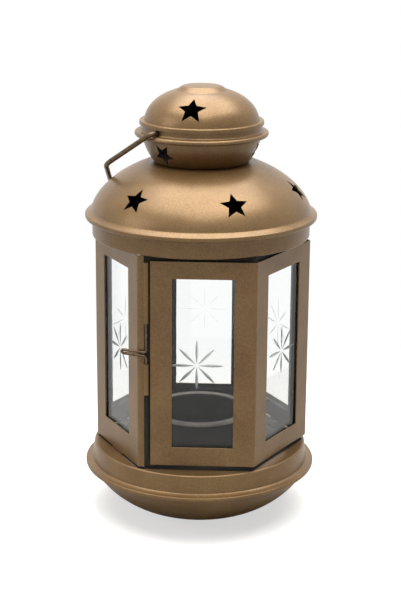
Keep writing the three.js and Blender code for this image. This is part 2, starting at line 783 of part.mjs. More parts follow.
// Least distance from the bail's shoulder and grip to the roof, for a drop below the horizontal
function bailGap(drop, roofLine) {
  let least = Infinity;
  for (let i = 0; i <= 24; i += 1) {
    const share = i / 24;
    const out = THREE.MathUtils.lerp(pivotHalf + bailCornerOut, gripHalf, share);
    const reach = THREE.MathUtils.lerp(bailLeg, bailReach, share);
    const r = Math.hypot(out, reach * Math.cos(drop));
    const z = bailZ - reach * Math.sin(drop);
    least = roofLine.reduce((best, point) => Math.min(best, Math.hypot(r - point[0], z - point[1])), least);
  }
  return least;
}

// Drop at which the bail comes to rest on the roof
function bailDrop() {
  const line = domeFace(60);
  let [low, high] = [0, Math.PI / 3];
  for (let i = 0; i < 30; i += 1) {
    const drop = (low + high) / 2;
    if (bailGap(drop, line) > bailWire + fit) low = drop;
    else high = drop;
  }
  return low;
}

function buildBail() {
  const turn = THREE.MathUtils.degToRad(bailTurn);
  const across = new THREE.Vector3(Math.sin(turn), -Math.cos(turn), 0);
  const drop = bailDrop();
  const down = new THREE.Vector3(across.y, -across.x, 0).multiplyScalar(Math.cos(drop));
  down.z = -Math.sin(drop);
  const at = (out, reach) => {
    const point = across.clone().multiplyScalar(out).addScaledVector(down, reach);
    return point.setZ(point.z + bailZ);
  };
  const inside = bandRadius - sheet - fit - bailHeadThick / 2;
  const half = [
    [inside, 0],
    [pivotHalf, 0],
    [pivotHalf + bailCornerOut, bailLeg],
    [gripHalf, bailReach],
  ];
  const points = [
    ...half.map(([out, reach]) => at(out, reach)),
    ...half.reverse().map(([out, reach]) => at(-out, reach)),
  ];
  const bends = [pivotBend, bailBend, bailBend, bailBend, bailBend, pivotBend];
  const bow = wire(roundedPath(points, bends), bailWire, 60, 8);
  const headRadius = bailWire + bailHead;
  const heads = [-1, 1].map((side) => {
    const geometry = new THREE.CylinderGeometry(headRadius, headRadius, bailHeadThick, 10);
    geometry.translate(0, -side * inside, 0).rotateZ(turn);
    return toSolid(geometry.translate(0, 0, bailZ));
  });
  addPiece('handle_bail', toGeometry(joinAll([bow, ...heads])), finish.wire);
}

buildBaseBowl();
buildBaseCover();
buildRivets();
buildCup();
buildBody();
buildDoor();
buildPanes();
buildHingePin();
buildLatch();
buildRoofDome();
buildRoofRing();
buildCapBowl();
buildCapBand();
buildCapDome();
buildBail();

export default lantern;
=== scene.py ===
"""Look of the star-pierced hexagonal lantern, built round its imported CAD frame.

Every length in the classes below is in millimetres, in the frame of the CAD part: +Z up, the door's
front leaf facing -Y, the foot's underside at Z = 0. Meshes are scaled to metres when they are made.
"""

import json
import logging
import math
from dataclasses import dataclass, field
from enum import Enum
from typing import Any, Callable, Mapping, Sequence

import bmesh
import bpy
from mathutils import Matrix, Vector

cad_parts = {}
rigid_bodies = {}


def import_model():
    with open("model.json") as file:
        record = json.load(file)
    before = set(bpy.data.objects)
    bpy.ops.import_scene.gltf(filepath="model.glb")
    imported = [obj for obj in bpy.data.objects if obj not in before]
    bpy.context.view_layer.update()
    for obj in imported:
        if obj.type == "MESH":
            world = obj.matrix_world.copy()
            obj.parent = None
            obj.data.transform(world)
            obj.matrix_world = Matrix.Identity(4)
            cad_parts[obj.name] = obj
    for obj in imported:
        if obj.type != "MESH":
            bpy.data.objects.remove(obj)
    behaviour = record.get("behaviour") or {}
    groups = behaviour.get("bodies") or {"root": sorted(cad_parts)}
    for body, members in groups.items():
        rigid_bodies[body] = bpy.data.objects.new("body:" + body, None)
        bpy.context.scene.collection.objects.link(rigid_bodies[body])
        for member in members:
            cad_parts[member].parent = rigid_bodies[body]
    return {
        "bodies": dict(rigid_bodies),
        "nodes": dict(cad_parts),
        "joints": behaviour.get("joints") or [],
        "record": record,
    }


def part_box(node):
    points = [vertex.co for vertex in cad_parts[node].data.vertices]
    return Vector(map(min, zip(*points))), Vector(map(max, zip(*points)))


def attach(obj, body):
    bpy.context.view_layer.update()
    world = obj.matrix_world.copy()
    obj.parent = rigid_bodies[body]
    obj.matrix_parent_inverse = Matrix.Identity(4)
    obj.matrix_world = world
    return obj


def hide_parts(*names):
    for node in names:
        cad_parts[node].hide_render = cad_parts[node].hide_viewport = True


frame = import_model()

log = logging.getLogger("lantern")

MM = 0.001
CREASE = math.radians(38)
Flat = tuple[float, float]
Solid = tuple[float, float, float]
Tool = tuple[str, Mapping[str, Any]]
BURR: Tool = ("BEVEL", {"width": 0.12 * MM, "segments": 2, "limit_method": "ANGLE",
                        "angle_limit": math.radians(50)})


def linear(hex_code: str) -> tuple[float, float, float, float]:
    """Turns an sRGB hex colour into the linear colour that the shaders take.

    Args:
        hex_code: Colour such as "#8A6C42".

    Returns:
        Linear red, green and blue, with alpha 1.
    """
    channels = [int(hex_code[i:i + 2], 16) / 255 for i in (1, 3, 5)]
    bright = [c / 12.92 if c <= 0.04045 else ((c + 0.055) / 1.055) ** 2.4 for c in channels]
    return (bright[0], bright[1], bright[2], 1.0)


def add_node(tree: bpy.types.NodeTree, kind: str, settings: Mapping[Any, Any] | None = None,
             links: Mapping[Any, bpy.types.NodeSocket] | None = None) -> bpy.types.Node:
    """Adds one node with its settings and links.

    Args:
        tree: Node tree that takes the node.
        kind: Name of the node type, without the words that all of them start with.
        settings: Values by input name, input number or attribute name.
        links: Output sockets by the input that they feed.

    Returns:
        The new node.
    """
    node = tree.nodes.new(f"ShaderNode{kind}")
    for key, value in (settings or {}).items():
        if isinstance(key, int) or key in node.inputs:
            node.inputs[key].default_value = value
        else:
            setattr(node, key, value)
    for key, socket in (links or {}).items():
        tree.links.new(socket, node.inputs[key])
    return node


def new_material(name: str) -> tuple[bpy.types.Material, bpy.types.NodeTree]:
    """Makes an empty node material.

    Args:
        name: Name of the real material and its making.

    Returns:
        The material and its node tree.
    """
    material = bpy.data.materials.new(name)
    material.use_nodes = True
    material.node_tree.nodes.clear()
    return material, material.node_tree


@dataclass(frozen=True)
class SprayedLacquer:
    """Metallic lacquer sprayed over stamped mild steel, under a baked clear coat.

    The flake gives the eye a fine warm sheen, brightest where the sheet faces the light; the clear coat
    lays a paler, softer gleam over it, strongest on faces seen at a slant.
    """

    name: str = "bronze_spray_lacquer_on_steel"
    shade: str = "#644828"
    flake: str = "#8A6D44"
    metallic: float = 0.45
    satin: Flat = (0.3, 0.4)  # roughness on the flakes and between them
    coat: Flat = (0.1, 0.3)  # weight and roughness of the clear coat
    flake_mm: float = 0.5
    flake_reach: Flat = (0.3, 0.7)  # part of the noise that the roughness follows
    cloud_mm: float = 18.0  # the gun's passes overlap in clouds of about this size
    cloud_share: float = 0.45
    tone_reach: Flat = (0.5, 0.95)  # part of flake and cloud that the colour follows
    relief_mm: float = 0.04

    def build(self) -> bpy.types.Material:
        """Makes the material.

        Returns:
            The lacquer, with its flake, its clouding and its sprayed unevenness.
        """
        material, tree = new_material(self.name)
        place = {"Vector": add_node(tree, "TexCoord").outputs["Object"]}
        # real flake is about 0.05 mm; it is drawn at 0.5 mm so that it shows in the render
        flake = add_node(tree, "TexNoise", {"Scale": 1 / (self.flake_mm * MM), "Detail": 3.0,
                                            "Roughness": 0.7}, place).outputs["Fac"]
        cloud = add_node(tree, "TexNoise", {"Scale": 1 / (self.cloud_mm * MM), "Detail": 2.0},
                         place).outputs["Fac"]
        both = add_node(tree, "Math", {"operation": "MULTIPLY_ADD", 1: self.cloud_share},
                        {0: cloud, 2: flake}).outputs[0]
        share = add_node(tree, "MapRange", {"From Min": self.tone_reach[0], "From Max": self.tone_reach[1]},
                         {"Value": both}).outputs["Result"]
        colour = add_node(tree, "Mix", {"data_type": "RGBA", 6: linear(self.shade), 7: linear(self.flake)},
                          {0: share}).outputs[2]
        rough = add_node(tree, "MapRange", {"From Min": self.flake_reach[0], "From Max": self.flake_reach[1],
                                            "To Min": self.satin[1], "To Max": self.satin[0]},
                         {"Value": flake}).outputs["Result"]
        bump = add_node(tree, "Bump", {"Strength": 0.1, "Distance": self.relief_mm * MM},
                        {"Height": flake}).outputs["Normal"]
        shader = add_node(tree, "BsdfPrincipled", {"Metallic": self.metallic, "Coat Weight": self.coat[0],
                                                   "Coat Roughness": self.coat[1]},
                          {"Base Color": colour, "Roughness": rough, "Normal": bump})
        add_node(tree, "OutputMaterial", links={"Surface": shader.outputs[0]})
        return material


@dataclass(frozen=True)
class MottledMetal:
    """Metal whose colour and roughness drift together from spot to spot."""

    name: str
    shade: str
    bright: str | None
    grain_mm: float
    rough: Flat  # least and most roughness
    detail: float = 3.0
    reach: Flat = (0.3, 0.7)  # part of the noise that the colour follows
    metallic: float = 1.0
    specular: float = 0.5

    def build(self) -> bpy.types.Material:
        """Makes the material.

        Returns:
            The finish. Without a bright tone only its roughness drifts.
        """
        material, tree = new_material(self.name)
        place = {"Vector": add_node(tree, "TexCoord").outputs["Object"]}
        noise = {"Scale": 1 / (self.grain_mm * MM), "Detail": self.detail}
        grain = {"Value": add_node(tree, "TexNoise", noise, place).outputs["Fac"]}
        links = {"Roughness": add_node(tree, "MapRange", {"To Min": self.rough[0], "To Max": self.rough[1]},
                                       grain).outputs["Result"]}
        if self.bright:
            share = add_node(tree, "MapRange", {"From Min": self.reach[0], "From Max": self.reach[1]},
                             grain).outputs["Result"]
            links["Base Color"] = add_node(tree, "Mix", {"data_type": "RGBA", 6: linear(self.shade),
                                                         7: linear(self.bright)}, {0: share}).outputs[2]
        look = {"Base Color": linear(self.shade), "Metallic": self.metallic,
                "Specular IOR Level": self.specular}
        shader = add_node(tree, "BsdfPrincipled", look, links)
        add_node(tree, "OutputMaterial", links={"Surface": shader.outputs[0]})
        return material


@dataclass(frozen=True)
class DippedWire(MottledMetal):
    """Drawn steel wire dipped in the same bronze, which gathers darker and glossier on the round."""

    name: str = "bronze_dipped_steel_wire"
    shade: str = "#47382A"
    bright: str | None = "#6C5943"
    grain_mm: float = 1.8  # the dip gathers in runs about as long as the wires are thick
    rough: Flat = (0.28, 0.42)
    metallic: float = 0.85


@dataclass(frozen=True)
class DarkPrimerAndShade(MottledMetal):
    """Dark primer left bare on the inside, a dull neutral grey with a little dust on it.

    Outside, where the door and the roof hide the sheet, it also stands in as painted shade.
    A paler copy on the cup's lip is a painted highlight where the rolled lip catches the light.
    """

    name: str = "dark_primer_and_painted_shade"
    shade: str = "#28241F"
    bright: str | None = "#38322C"
    grain_mm: float = 14.0  # the gun's passes overlap in clouds of a centimetre or two
    rough: Flat = (0.55, 0.7)
    detail: float = 2.0
    reach: Flat = (0.35, 0.75)
    metallic: float = 0.0
    specular: float = 0.2


@dataclass(frozen=True)
class RivetSteel(MottledMetal):
    """Headed steel rivets, tumbled dull: a plain grey whose gleam breaks up finely."""

    name: str = "tumbled_steel_rivet"
    shade: str = "#5E5850"
    bright: str | None = None
    # tumbling leaves marks of about 0.1 mm; they are drawn at 0.5 mm so that they show in the render
    grain_mm: float = 0.5
    rough: Flat = (0.5, 0.7)


class GlassSurface(Enum):
    """How a pane's surface was left."""

    FLOATED = "clear_float_glass"
    WHEEL_CUT = "wheel_cut_glass"


@dataclass(frozen=True)
class PaneGlass:
    """Float glass: clear and flat, or ground grey-white where the wheel cut it.

    Its index is below that of real glass, so that a pane mirrors the pale studio as little as the
    photographed ones do, and the eye sees through it.
    """

    surface: GlassSurface
    clear: str = "#FDFEFE"
    ground: str = "#E2E8E4"
    ior: float = 1.34
    cut_rough: float = 0.45
    cut_share: float = 0.8

    def build(self) -> bpy.types.Material:
        """Makes the material.

        Returns:
            The glass, which lets the lamps' light through to the inside.
        """
        cut = self.surface is GlassSurface.WHEEL_CUT
        tint = linear(self.ground if cut else self.clear)
        material, tree = new_material(self.surface.value)
        shader = add_node(tree, "BsdfPrincipled", {"Base Color": tint, "IOR": self.ior,
                                                   "Roughness": self.cut_rough if cut else 0.0,
                                                   "Transmission Weight": self.cut_share if cut else 1.0})
        passing = add_node(tree, "BsdfTransparent", {"Color": tint})
        path = add_node(tree, "LightPath").outputs
        lamplight = add_node(tree, "Math", {"operation": "MAXIMUM"},
                             {0: path["Is Shadow Ray"], 1: path["Is Diffuse Ray"]}).outputs[0]
        mixed = add_node(tree, "MixShader", links={0: lamplight, 1: shader.outputs[0], 2: passing.outputs[0]})
        add_node(tree, "OutputMaterial", links={"Surface": mixed.outputs[0]})
        return material


@dataclass
class Finishes:
    """Every finish of the lantern, made once."""

    lacquer: bpy.types.Material = field(default_factory=lambda: SprayedLacquer().build())
    # dark primer inside; the same finish is painted shade where it shows outside
    primer_and_shade: bpy.types.Material = field(default_factory=lambda: DarkPrimerAndShade().build())
    # the cup's lip: a paler copy of the primer, a painted highlight where the rolled lip catches the light
    lip: bpy.types.Material = field(default_factory=lambda: DarkPrimerAndShade(
        "primer_with_painted_highlight", "#7A746C", "#9A938A", metallic=0.3).build())
    wire: bpy.types.Material = field(default_factory=lambda: DippedWire().build())
    rivet: bpy.types.Material = field(default_factory=lambda: RivetSteel().build())
    glass: bpy.types.Material = field(default_factory=lambda: PaneGlass(GlassSurface.FLOATED).build())
    cut: bpy.types.Material = field(default_factory=lambda: PaneGlass(GlassSurface.WHEEL_CUT).build())

    @property
    def sheet(self) -> list[bpy.types.Material]:
        """Finishes of a sheet's outside and inside."""
        return [self.lacquer, self.primer_and_shade]


def turn_at(back: Vector, here: Vector, ahead: Vector) -> tuple[Vector, Vector, float]:
    """Directions into and out of a corner.

    Args:
        back: Point before the corner.
        here: The corner.
        ahead: Point after it.

    Returns:
        The way in, the way out, and half of the turn between them.
    """
    into, onward = (here - back).normalized(), (ahead - here).normalized()
    return into, onward, math.acos(max(-1.0, min(1.0, into.dot(onward)))) / 2


def rounded(points: Sequence[Flat], radii: Mapping[int, float], steps: int = 6) -> list[Flat]:
    """Rounds corners of an open line, and drops the points of a curve that lie inside an arc.

    Args:
        points: The line's points.
        radii: Radius by the number of the point that it rounds, counted from the end when negative.
        steps: Straight steps in each rounded corner.

    Returns:
        The line with its arcs.
    """
    radii = {i % len(points): radius for i, radius in radii.items()}
    line = [(Vector(point), radii.get(i, 0.0)) for i, point in enumerate(points)]
    i = 1
    while i < len(line) - 1:
        here, radius = line[i]
        reach = radius * math.tan(turn_at(line[i - 1][0], here, line[i + 1][0])[2]) * 1.05
        near = [k for k in (i - 1, i + 1) if 0 < k < len(line) - 1 and not line[k][1]
                and (line[k][0] - here).length < reach]
        if not near:
            i += 1
            continue
        line.pop(near[0])
        i -= near[0] < i
    out: list[Flat] = []
    for i, (here, radius) in enumerate(line):
        if not radius:
            out.append((here.x, here.y))
            continue
        into, onward, half = turn_at(line[i - 1][0], here, line[i + 1][0])
        inward = (onward - into).normalized()
        centre = here + inward * (radius / math.cos(half))
        side = 1 if into.x * onward.y - into.y * onward.x > 0 else -1
        for k in range(steps + 1):
            turn = math.atan2(-inward.y, -inward.x) + side * half * (2 * k / steps - 1)
            out.append((centre.x + radius * math.cos(turn), centre.y + radius * math.sin(turn)))
    return out


def beside(line: Sequence[Flat], distance: float) -> list[Flat]:
    """Moves an open line sideways, to the left of its walking direction.

    Args:
        line: The line's points.
        distance: How far to the left, or to the right when negative.

    Returns:
        The moved line.
    """
    def left(a: Flat, b: Flat) -> Vector:
        """Unit vector to the left of the way from a to b."""
        return Vector((a[1] - b[1], b[0] - a[0])).normalized()

    out: list[Flat] = []
    for i, point in enumerate(line):
        before = left(line[i - 1], point) if i else left(point, line[1])
        after = left(point, line[i + 1]) if i < len(line) - 1 else before
        mitre = (before + after) / (1 + before.dot(after))
        out.append((point[0] + mitre.x * distance, point[1] + mitre.y * distance))
    return out


def bow(ends: Sequence[Flat], count: int) -> list[Flat]:
    """Points of a quadratic curve.

    Args:
        ends: Start, the point that it bulges towards, and end.
        count: Number of steps.

    Returns:
        Radius and height of each point.
    """
    out = []
    for t in (i / count for i in range(count + 1)):
        weights = ((1 - t) ** 2, 2 * t * (1 - t), t ** 2)
        r, z = (sum(w * p[i] for w, p in zip(weights, ends)) for i in (0, 1))
        out.append((r, z))
    return out


def dome(radius: float, z: float, rise: float, power: float, shares: Flat, count: int) -> list[Flat]:
    """Points of a stamped dome between two shares of its rise.

    Args:
        radius: Widest radius.
        z: Height of the widest circle.
        rise: Height of the full curve.
        power: How full the curve is; 2 is round.
        shares: First and last share of the rise.
        count: Number of steps.

    Returns:
        Radius and height of each point.
    """
    ends = [math.asin(s ** (power / 2)) for s in shares]
    turns = [ends[0] + (ends[1] - ends[0]) * i / count for i in range(count + 1)]
    return [(radius * math.cos(t) ** (2 / power), z + rise * math.sin(t) ** (2 / power)) for t in turns]


def dome_share(share: float, power: float) -> float:
    """Height of a dome, as a share of its rise, at a share of its radius."""
    return (1 - share ** power) ** (1 / power)


def spin(outline: Sequence[Flat], inner_from: int, sides: int = 160,
         axis: Flat = (0.0, 0.0)) -> bmesh.types.BMesh:
    """Spins a closed outline round an upright axis.

    Args:
        outline: Radius and height of each point, without the first one again at the end.
        inner_from: Number of the first point of the sheet's inner face, which takes the second finish.
        sides: Facets round the axis.
        axis: Place of the axis.

    Returns:
        The mesh.
    """
    mesh = bmesh.new()
    turns = [2 * math.pi * k / sides for k in range(sides)]
    rings = []
    for r, z in outline:
        if r < 1e-6:
            rings.append([mesh.verts.new((0.0, 0.0, z))] * sides)
        else:
            rings.append([mesh.verts.new((r * math.sin(t), -r * math.cos(t), z)) for t in turns])
    for i, ring in enumerate(rings):
        above = rings[(i + 1) % len(rings)]
        for k in range(sides):
            n = (k + 1) % sides
            corners = list(dict.fromkeys((ring[k], ring[n], above[n], above[k])))
            if len(corners) > 2:
                face = mesh.faces.new(corners)
                face.material_index = int(inner_from <= i < len(rings) - 1)
    bmesh.ops.translate(mesh, vec=(*axis, 0.0), verts=mesh.verts)
    bmesh.ops.recalc_face_normals(mesh, faces=mesh.faces)
    return mesh


def stamped(face: Sequence[Flat], sheet: float, sides: int = 160) -> bmesh.types.BMesh:
    """Spins a stamping from its outer face.

    Args:
        face: Radius and height of each point of the outer face.
        sheet: Thickness, put left of the face's direction, or right when negative.
        sides: Facets round the axis.

    Returns:
        The mesh, with its inner face in the second finish.
    """
    inner = [(max(r, 0.0), z) for r, z in reversed(beside(face, sheet))]
    return spin([*face, *inner], len(face), sides)


def join_rings(mesh: bmesh.types.BMesh, here: Sequence[bmesh.types.BMVert],
               ahead: Sequence[bmesh.types.BMVert]) -> list[bmesh.types.BMFace]:
    """Joins two rings of points with a band of faces.

    Args:
        mesh: Mesh that takes the faces.
        here: Points of the first ring.
        ahead: Points of the second ring.

    Returns:
        The faces.
    """
    pairs = list(zip(here, ahead))
    return [mesh.faces.new((a, c, d, b)) for (a, b), (c, d) in zip(pairs, [*pairs[1:], pairs[0]])]


def prism(mesh: bmesh.types.BMesh, outline: Sequence[Flat], low: float, high: float, finish: int = 0,
          place: Matrix = Matrix()) -> None:
    """Stands a closed outline upright between two heights.

    Args:
        mesh: Mesh that takes the faces.
        outline: Points of the outline.
        low: Lower height.
        high: Upper height.
        finish: Number of the finish.
        place: Frame that it stands in.
    """
    floor, top = ([mesh.verts.new(place @ Vector((x, y, z))) for x, y in outline] for z in (low, high))
    for face in (mesh.faces.new(floor[::-1]), mesh.faces.new(top), *join_rings(mesh, floor, top)):
        face.material_index = finish


def sweep(mesh: bmesh.types.BMesh, line: Sequence[Vector], radius: float, sides: int = 20) -> None:
    """Draws a round wire along a line, with slightly rounded ends.

    Args:
        mesh: Mesh that takes the faces.
        line: Points of the wire's middle.
        radius: Wire radius.
        sides: Facets round the wire.
    """
    last = len(line) - 1
    ways = [(line[min(i + 1, last)] - line[max(i - 1, 0)]).normalized() for i in range(len(line))]
    across = ways[0].orthogonal().normalized()
    whole, push, narrow = (0.0, 1.0), 0.3, 0.75
    ends = {0: [(-push, narrow), whole], last: [whole, (push, narrow)]}
    turns = [2 * math.pi * k / sides for k in range(sides)]
    rings = []
    for i, (point, way) in enumerate(zip(line, ways)):
        across = (across - way * across.dot(way)).normalized()
        other = way.cross(across)
        for out, share in ends.get(i, [whole]):
            spot = point + way * (out * radius)
            reach = radius * share
            rings.append([mesh.verts.new(spot + (across * math.cos(t) + other * math.sin(t)) * reach)
                          for t in turns])
    for ring, ahead in zip(rings, rings[1:]):
        join_rings(mesh, ring, ahead)
    mesh.faces.new(rings[0][::-1])
    mesh.faces.new(rings[-1])


def wire_line(points: Sequence[Vector], bends: Sequence[float], steps: int = 8) -> list[Vector]:
    """Rounds the corners of a wire's line, as the CAD part bends it.

    Args:
        points: Corners of the line.
        bends: Distance from each inner corner at which its bend starts.
        steps: Straight steps in each bend.

    Returns:
        Points along the wire.
    """
    line = [points[0]]
    for i, bend in enumerate(bends, start=1):
        into = points[i] + (points[i - 1] - points[i]).normalized() * bend
        out = points[i] + (points[i + 1] - points[i]).normalized() * bend
        for t in (k / steps for k in range(steps + 1)):
            line.append(into * (1 - t) ** 2 + points[i] * (2 * t * (1 - t)) + out * t ** 2)
    line.append(points[-1])
    return line


def place_mesh(name: str, mesh: bmesh.types.BMesh, scale: float = MM) -> bpy.types.Object:
    """Puts a mesh into the scene.

    Args:
        name: Name of the object.
        mesh: Its mesh, which is freed.
        scale: Metres in one unit of the mesh.

    Returns:
        The object.
    """
    bmesh.ops.scale(mesh, vec=(scale, scale, scale), verts=mesh.verts)
    data = bpy.data.meshes.new(name)
    mesh.to_mesh(data)
    mesh.free()
    placed = bpy.data.objects.new(name, data)
    bpy.context.scene.collection.objects.link(placed)
    return placed


def make_object(name: str, mesh: bmesh.types.BMesh, finishes: Sequence[bpy.types.Material],
                nodes: Sequence[str] = (), body: str = "lantern",
                tools: Sequence[Tool] = ()) -> None:
    """Turns a mesh in millimetres into a piece of the lantern.

    Args:
        name: Name of the piece.
        mesh: Mesh in millimetres; it is freed.
        finishes: Materials by the faces' finish numbers.
        nodes: CAD nodes that it stands for.
        body: Body that the piece moves with.
        tools: Modifiers that are applied to it, with their settings; a cutting tool is used up.
    """
    bmesh.ops.remove_doubles(mesh, verts=mesh.verts, dist=1e-4)
    piece = place_mesh(name, mesh)
    for finish in finishes:
        piece.data.materials.append(finish)
    for kind, settings in tools:
        tool = piece.modifiers.new(kind.lower(), kind)
        for key, value in settings.items():
            setattr(tool, key, value)
    apply_tools(piece)
    for cutting in (settings["object"] for _, settings in tools if "object" in settings):
        data = cutting.data
        bpy.data.objects.remove(cutting)
        bpy.data.meshes.remove(data)
    shade(piece)
    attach(piece, body)
    if nodes:
        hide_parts(*nodes)
    log.info("%s: %d faces, on %s", name, len(piece.data.polygons), body)


def apply_tools(piece: bpy.types.Object) -> None:
    """Applies a piece's modifiers to its mesh."""
    if piece.modifiers:
        done = bpy.data.meshes.new_from_object(piece.evaluated_get(bpy.context.evaluated_depsgraph_get()))
        piece.modifiers.clear()
        piece.data = done


def shade(piece: bpy.types.Object) -> None:
    """Shades a piece smooth, with its folds sharp and its flat faces kept flat.

    Args:
        piece: The piece.
    """
    mesh = bmesh.new()
    mesh.from_mesh(piece.data)
    for face in mesh.faces:
        face.smooth = True
    for edge in mesh.edges:
        edge.smooth = len(edge.link_faces) == 2 and edge.calc_face_angle() < CREASE
    mesh.to_mesh(piece.data)
    mesh.free()
    tool = piece.modifiers.new("flat", "WEIGHTED_NORMAL")
    tool.keep_sharp = True
    tool.weight = 80
    apply_tools(piece)


def cut_with(mesh: bmesh.types.BMesh) -> Tool:
    """Makes the boolean that cuts with a mesh.

    Args:
        mesh: Shape of the cutting tool, in millimetres.

    Returns:
        The boolean's kind and settings.
    """
    bmesh.ops.recalc_face_normals(mesh, faces=mesh.faces)
    return ("BOOLEAN", {"operation": "DIFFERENCE", "solver": "EXACT", "object": place_mesh("cutter", mesh)})


def drill(radius: float, depth: float, place: Matrix, sides: int) -> Tool:
    """Makes a round cutting tool.

    Args:
        radius: Its radius.
        depth: Its length.
        place: Frame of its middle, with Z along it.
        sides: Facets round it.

    Returns:
        The boolean that cuts with it.
    """
    mesh = bmesh.new()
    bmesh.ops.create_cone(mesh, cap_ends=True, segments=sides, radius1=radius, radius2=radius, depth=depth,
                          matrix=place)
    return cut_with(mesh)


@dataclass(frozen=True)
class Stock:
    """Sheet, clearances and the round stampings' common sizes."""

    sheet: float = 0.6
    fit: float = 0.3
    run: float = 0.15
    pane: float = 2.0
    drum: float = 52.3
    seam_half: float = 1.2
    floor_top: float = 34.1
    ceiling_low: float = 138.9
    pin: float = 0.65
    knuckle_wall: float = 0.45

    @property
    def bore(self) -> float:
        """Radius of the bore in a rolled knuckle."""
        return self.pin + self.run

    @property
    def ring(self) -> float:
        """Outer radius of a rolled knuckle."""
        return self.bore + self.knuckle_wall


@dataclass
class Part:
    """What every sub-assembly is made from."""

    stock: Stock
    finishes: Finishes

    def stamp(self, node: str, face: Sequence[Flat], side: int, sides: int = 160, tools: Sequence[Tool] = (),
              mask: Callable[[bmesh.types.BMesh], None] | None = None) -> None:
        """Makes a round stamping, sprayed outside and in primer inside.

        Args:
            node: CAD node that it stands for.
            face: Its outer face.
            side: 1 to put the sheet's thickness left of the face's direction, -1 right.
            sides: Facets round its axis.
            tools: Tools that cut it.
            mask: Method that says which other faces stay in primer.
        """
        mesh = stamped(face, side * self.stock.sheet, sides)
        if mask:
            mask(mesh)
        make_object(f"{node}_stamping", mesh, self.finishes.sheet, [node], tools=tools)


@dataclass(frozen=True)
class PiercedStars:
    """Five-point stars punched out of a stamping, spread evenly round it.

    The first one's place is in degrees from the front.
    """

    tip: float
    count: int
    first: float
    waist: float = 0.45
    tips: int = 5
    through: float = 3.0

    def punch(self, radius_at: Callable[[float], float], z: float, upwards: bool = True) -> Tool:
        """Makes the tool that punches them.

        Args:
            radius_at: Radius of the stamping at a height.
            z: Height of the stars.
            upwards: True for stars that point up.

        Returns:
            The boolean that cuts with it.
        """
        step = 0.5
        slope = math.atan2(radius_at(z - step) - radius_at(z + step), 2 * step)
        size = self.tip if upwards else -self.tip
        outline = []
        for i in range(2 * self.tips):
            reach, angle = (self.waist if i % 2 else 1.0) * size, i * math.pi / self.tips
            outline.append((-reach * math.sin(angle), reach * math.cos(angle)))
        mesh = bmesh.new()
        tilt = Matrix.Translation((0, -radius_at(z), z)) @ Matrix.Rotation(math.pi / 2 - slope, 4, "X")
        for i in range(self.count):
            place = Matrix.Rotation(math.radians(self.first + 360 * i / self.count), 4, "Z") @ tilt
            prism(mesh, outline, -self.through, self.through, place=place)
        return cut_with(mesh)


@dataclass(frozen=True)
class FlaredRim:
    """Edge of a stamping that curves out into a bead and is folded round the flange below it."""

    bead: float
    z: float
    height: float
    lip: float
    belly: Flat = (0.35, 0.4)  # shares of the flare's width and height that it bulges towards
    shoulder: float = 0.5

    def line(self, wall: float, half: float) -> list[Flat]:
        """Outer face of the edge; the last three points are the bead's two corners and the lip's end.

        Args:
            wall: Radius of the wall that it starts from.
            half: Half of the bead's height.

        Returns:
            Radius and height of each point.
        """
        top, low = self.z + half, self.z - half
        end = (self.bead - self.shoulder, top)
        middle = (wall + (end[0] - wall) * self.belly[0], top + self.height * self.belly[1])
        drop = self.shoulder * (middle[1] - top) / (end[0] - middle[0])
        flare = bow([(wall, top + self.height), middle, end], 14)
        return [*flare, (self.bead, top - drop), (self.bead, low), (self.lip, low)]


class Side(Enum):
    """Sides of the hexagon, by the number of the corner that each starts at."""

    LEFT = 0
    FRONT = 1
    RIGHT = 2
    BACK_RIGHT = 3
    BACK = 4
    BACK_LEFT = 5


@dataclass(frozen=True)
class Hexagon:
    """Plan of the body's outer face."""

    across: float = 102.8
    deep: float = 88.8
    front: float = 54.0

    def corners(self) -> list[Vector]:
        """The six corners, from the left one round by the front."""
        x, y, f = self.across / 2, self.deep / 2, self.front / 2
        return [Vector(p) for p in ((-x, 0), (-f, -y), (f, -y), (x, 0), (f, y), (-f, y))]

    def side(self, side: Side) -> tuple[Vector, Vector]:
        """The two corners of a side."""
        corners = self.corners()
        return corners[side.value], corners[(side.value + 1) % len(corners)]

    def along(self, side: Side, distance: float, outwards: float = 0.0) -> Vector:
        """Point on a side.

        Args:
            side: The side.
            distance: Distance from the corner that it starts at.
            outwards: Distance out of the side.

        Returns:
            The point.
        """
        start, end = self.side(side)
        way = (end - start).normalized()
        return start + way * distance + Vector((way.y, -way.x)) * outwards

    def leaf(self, side: Side, near: float, far: float, back: float, front: float) -> list[Flat]:
        """Outline of a flat strip on a side, seen from above.

        Args:
            side: The side.
            near: Distance from the side's first corner to the strip's near end.
            far: Distance to its far end.
            back: Distance of its inner face out of the side.
            front: Distance of its outer face.

        Returns:
            Closed outline.
        """
        places = ((near, back), (far, back), (far, front), (near, front))
        return [self.along(side, distance, outwards)[:] for distance, outwards in places]


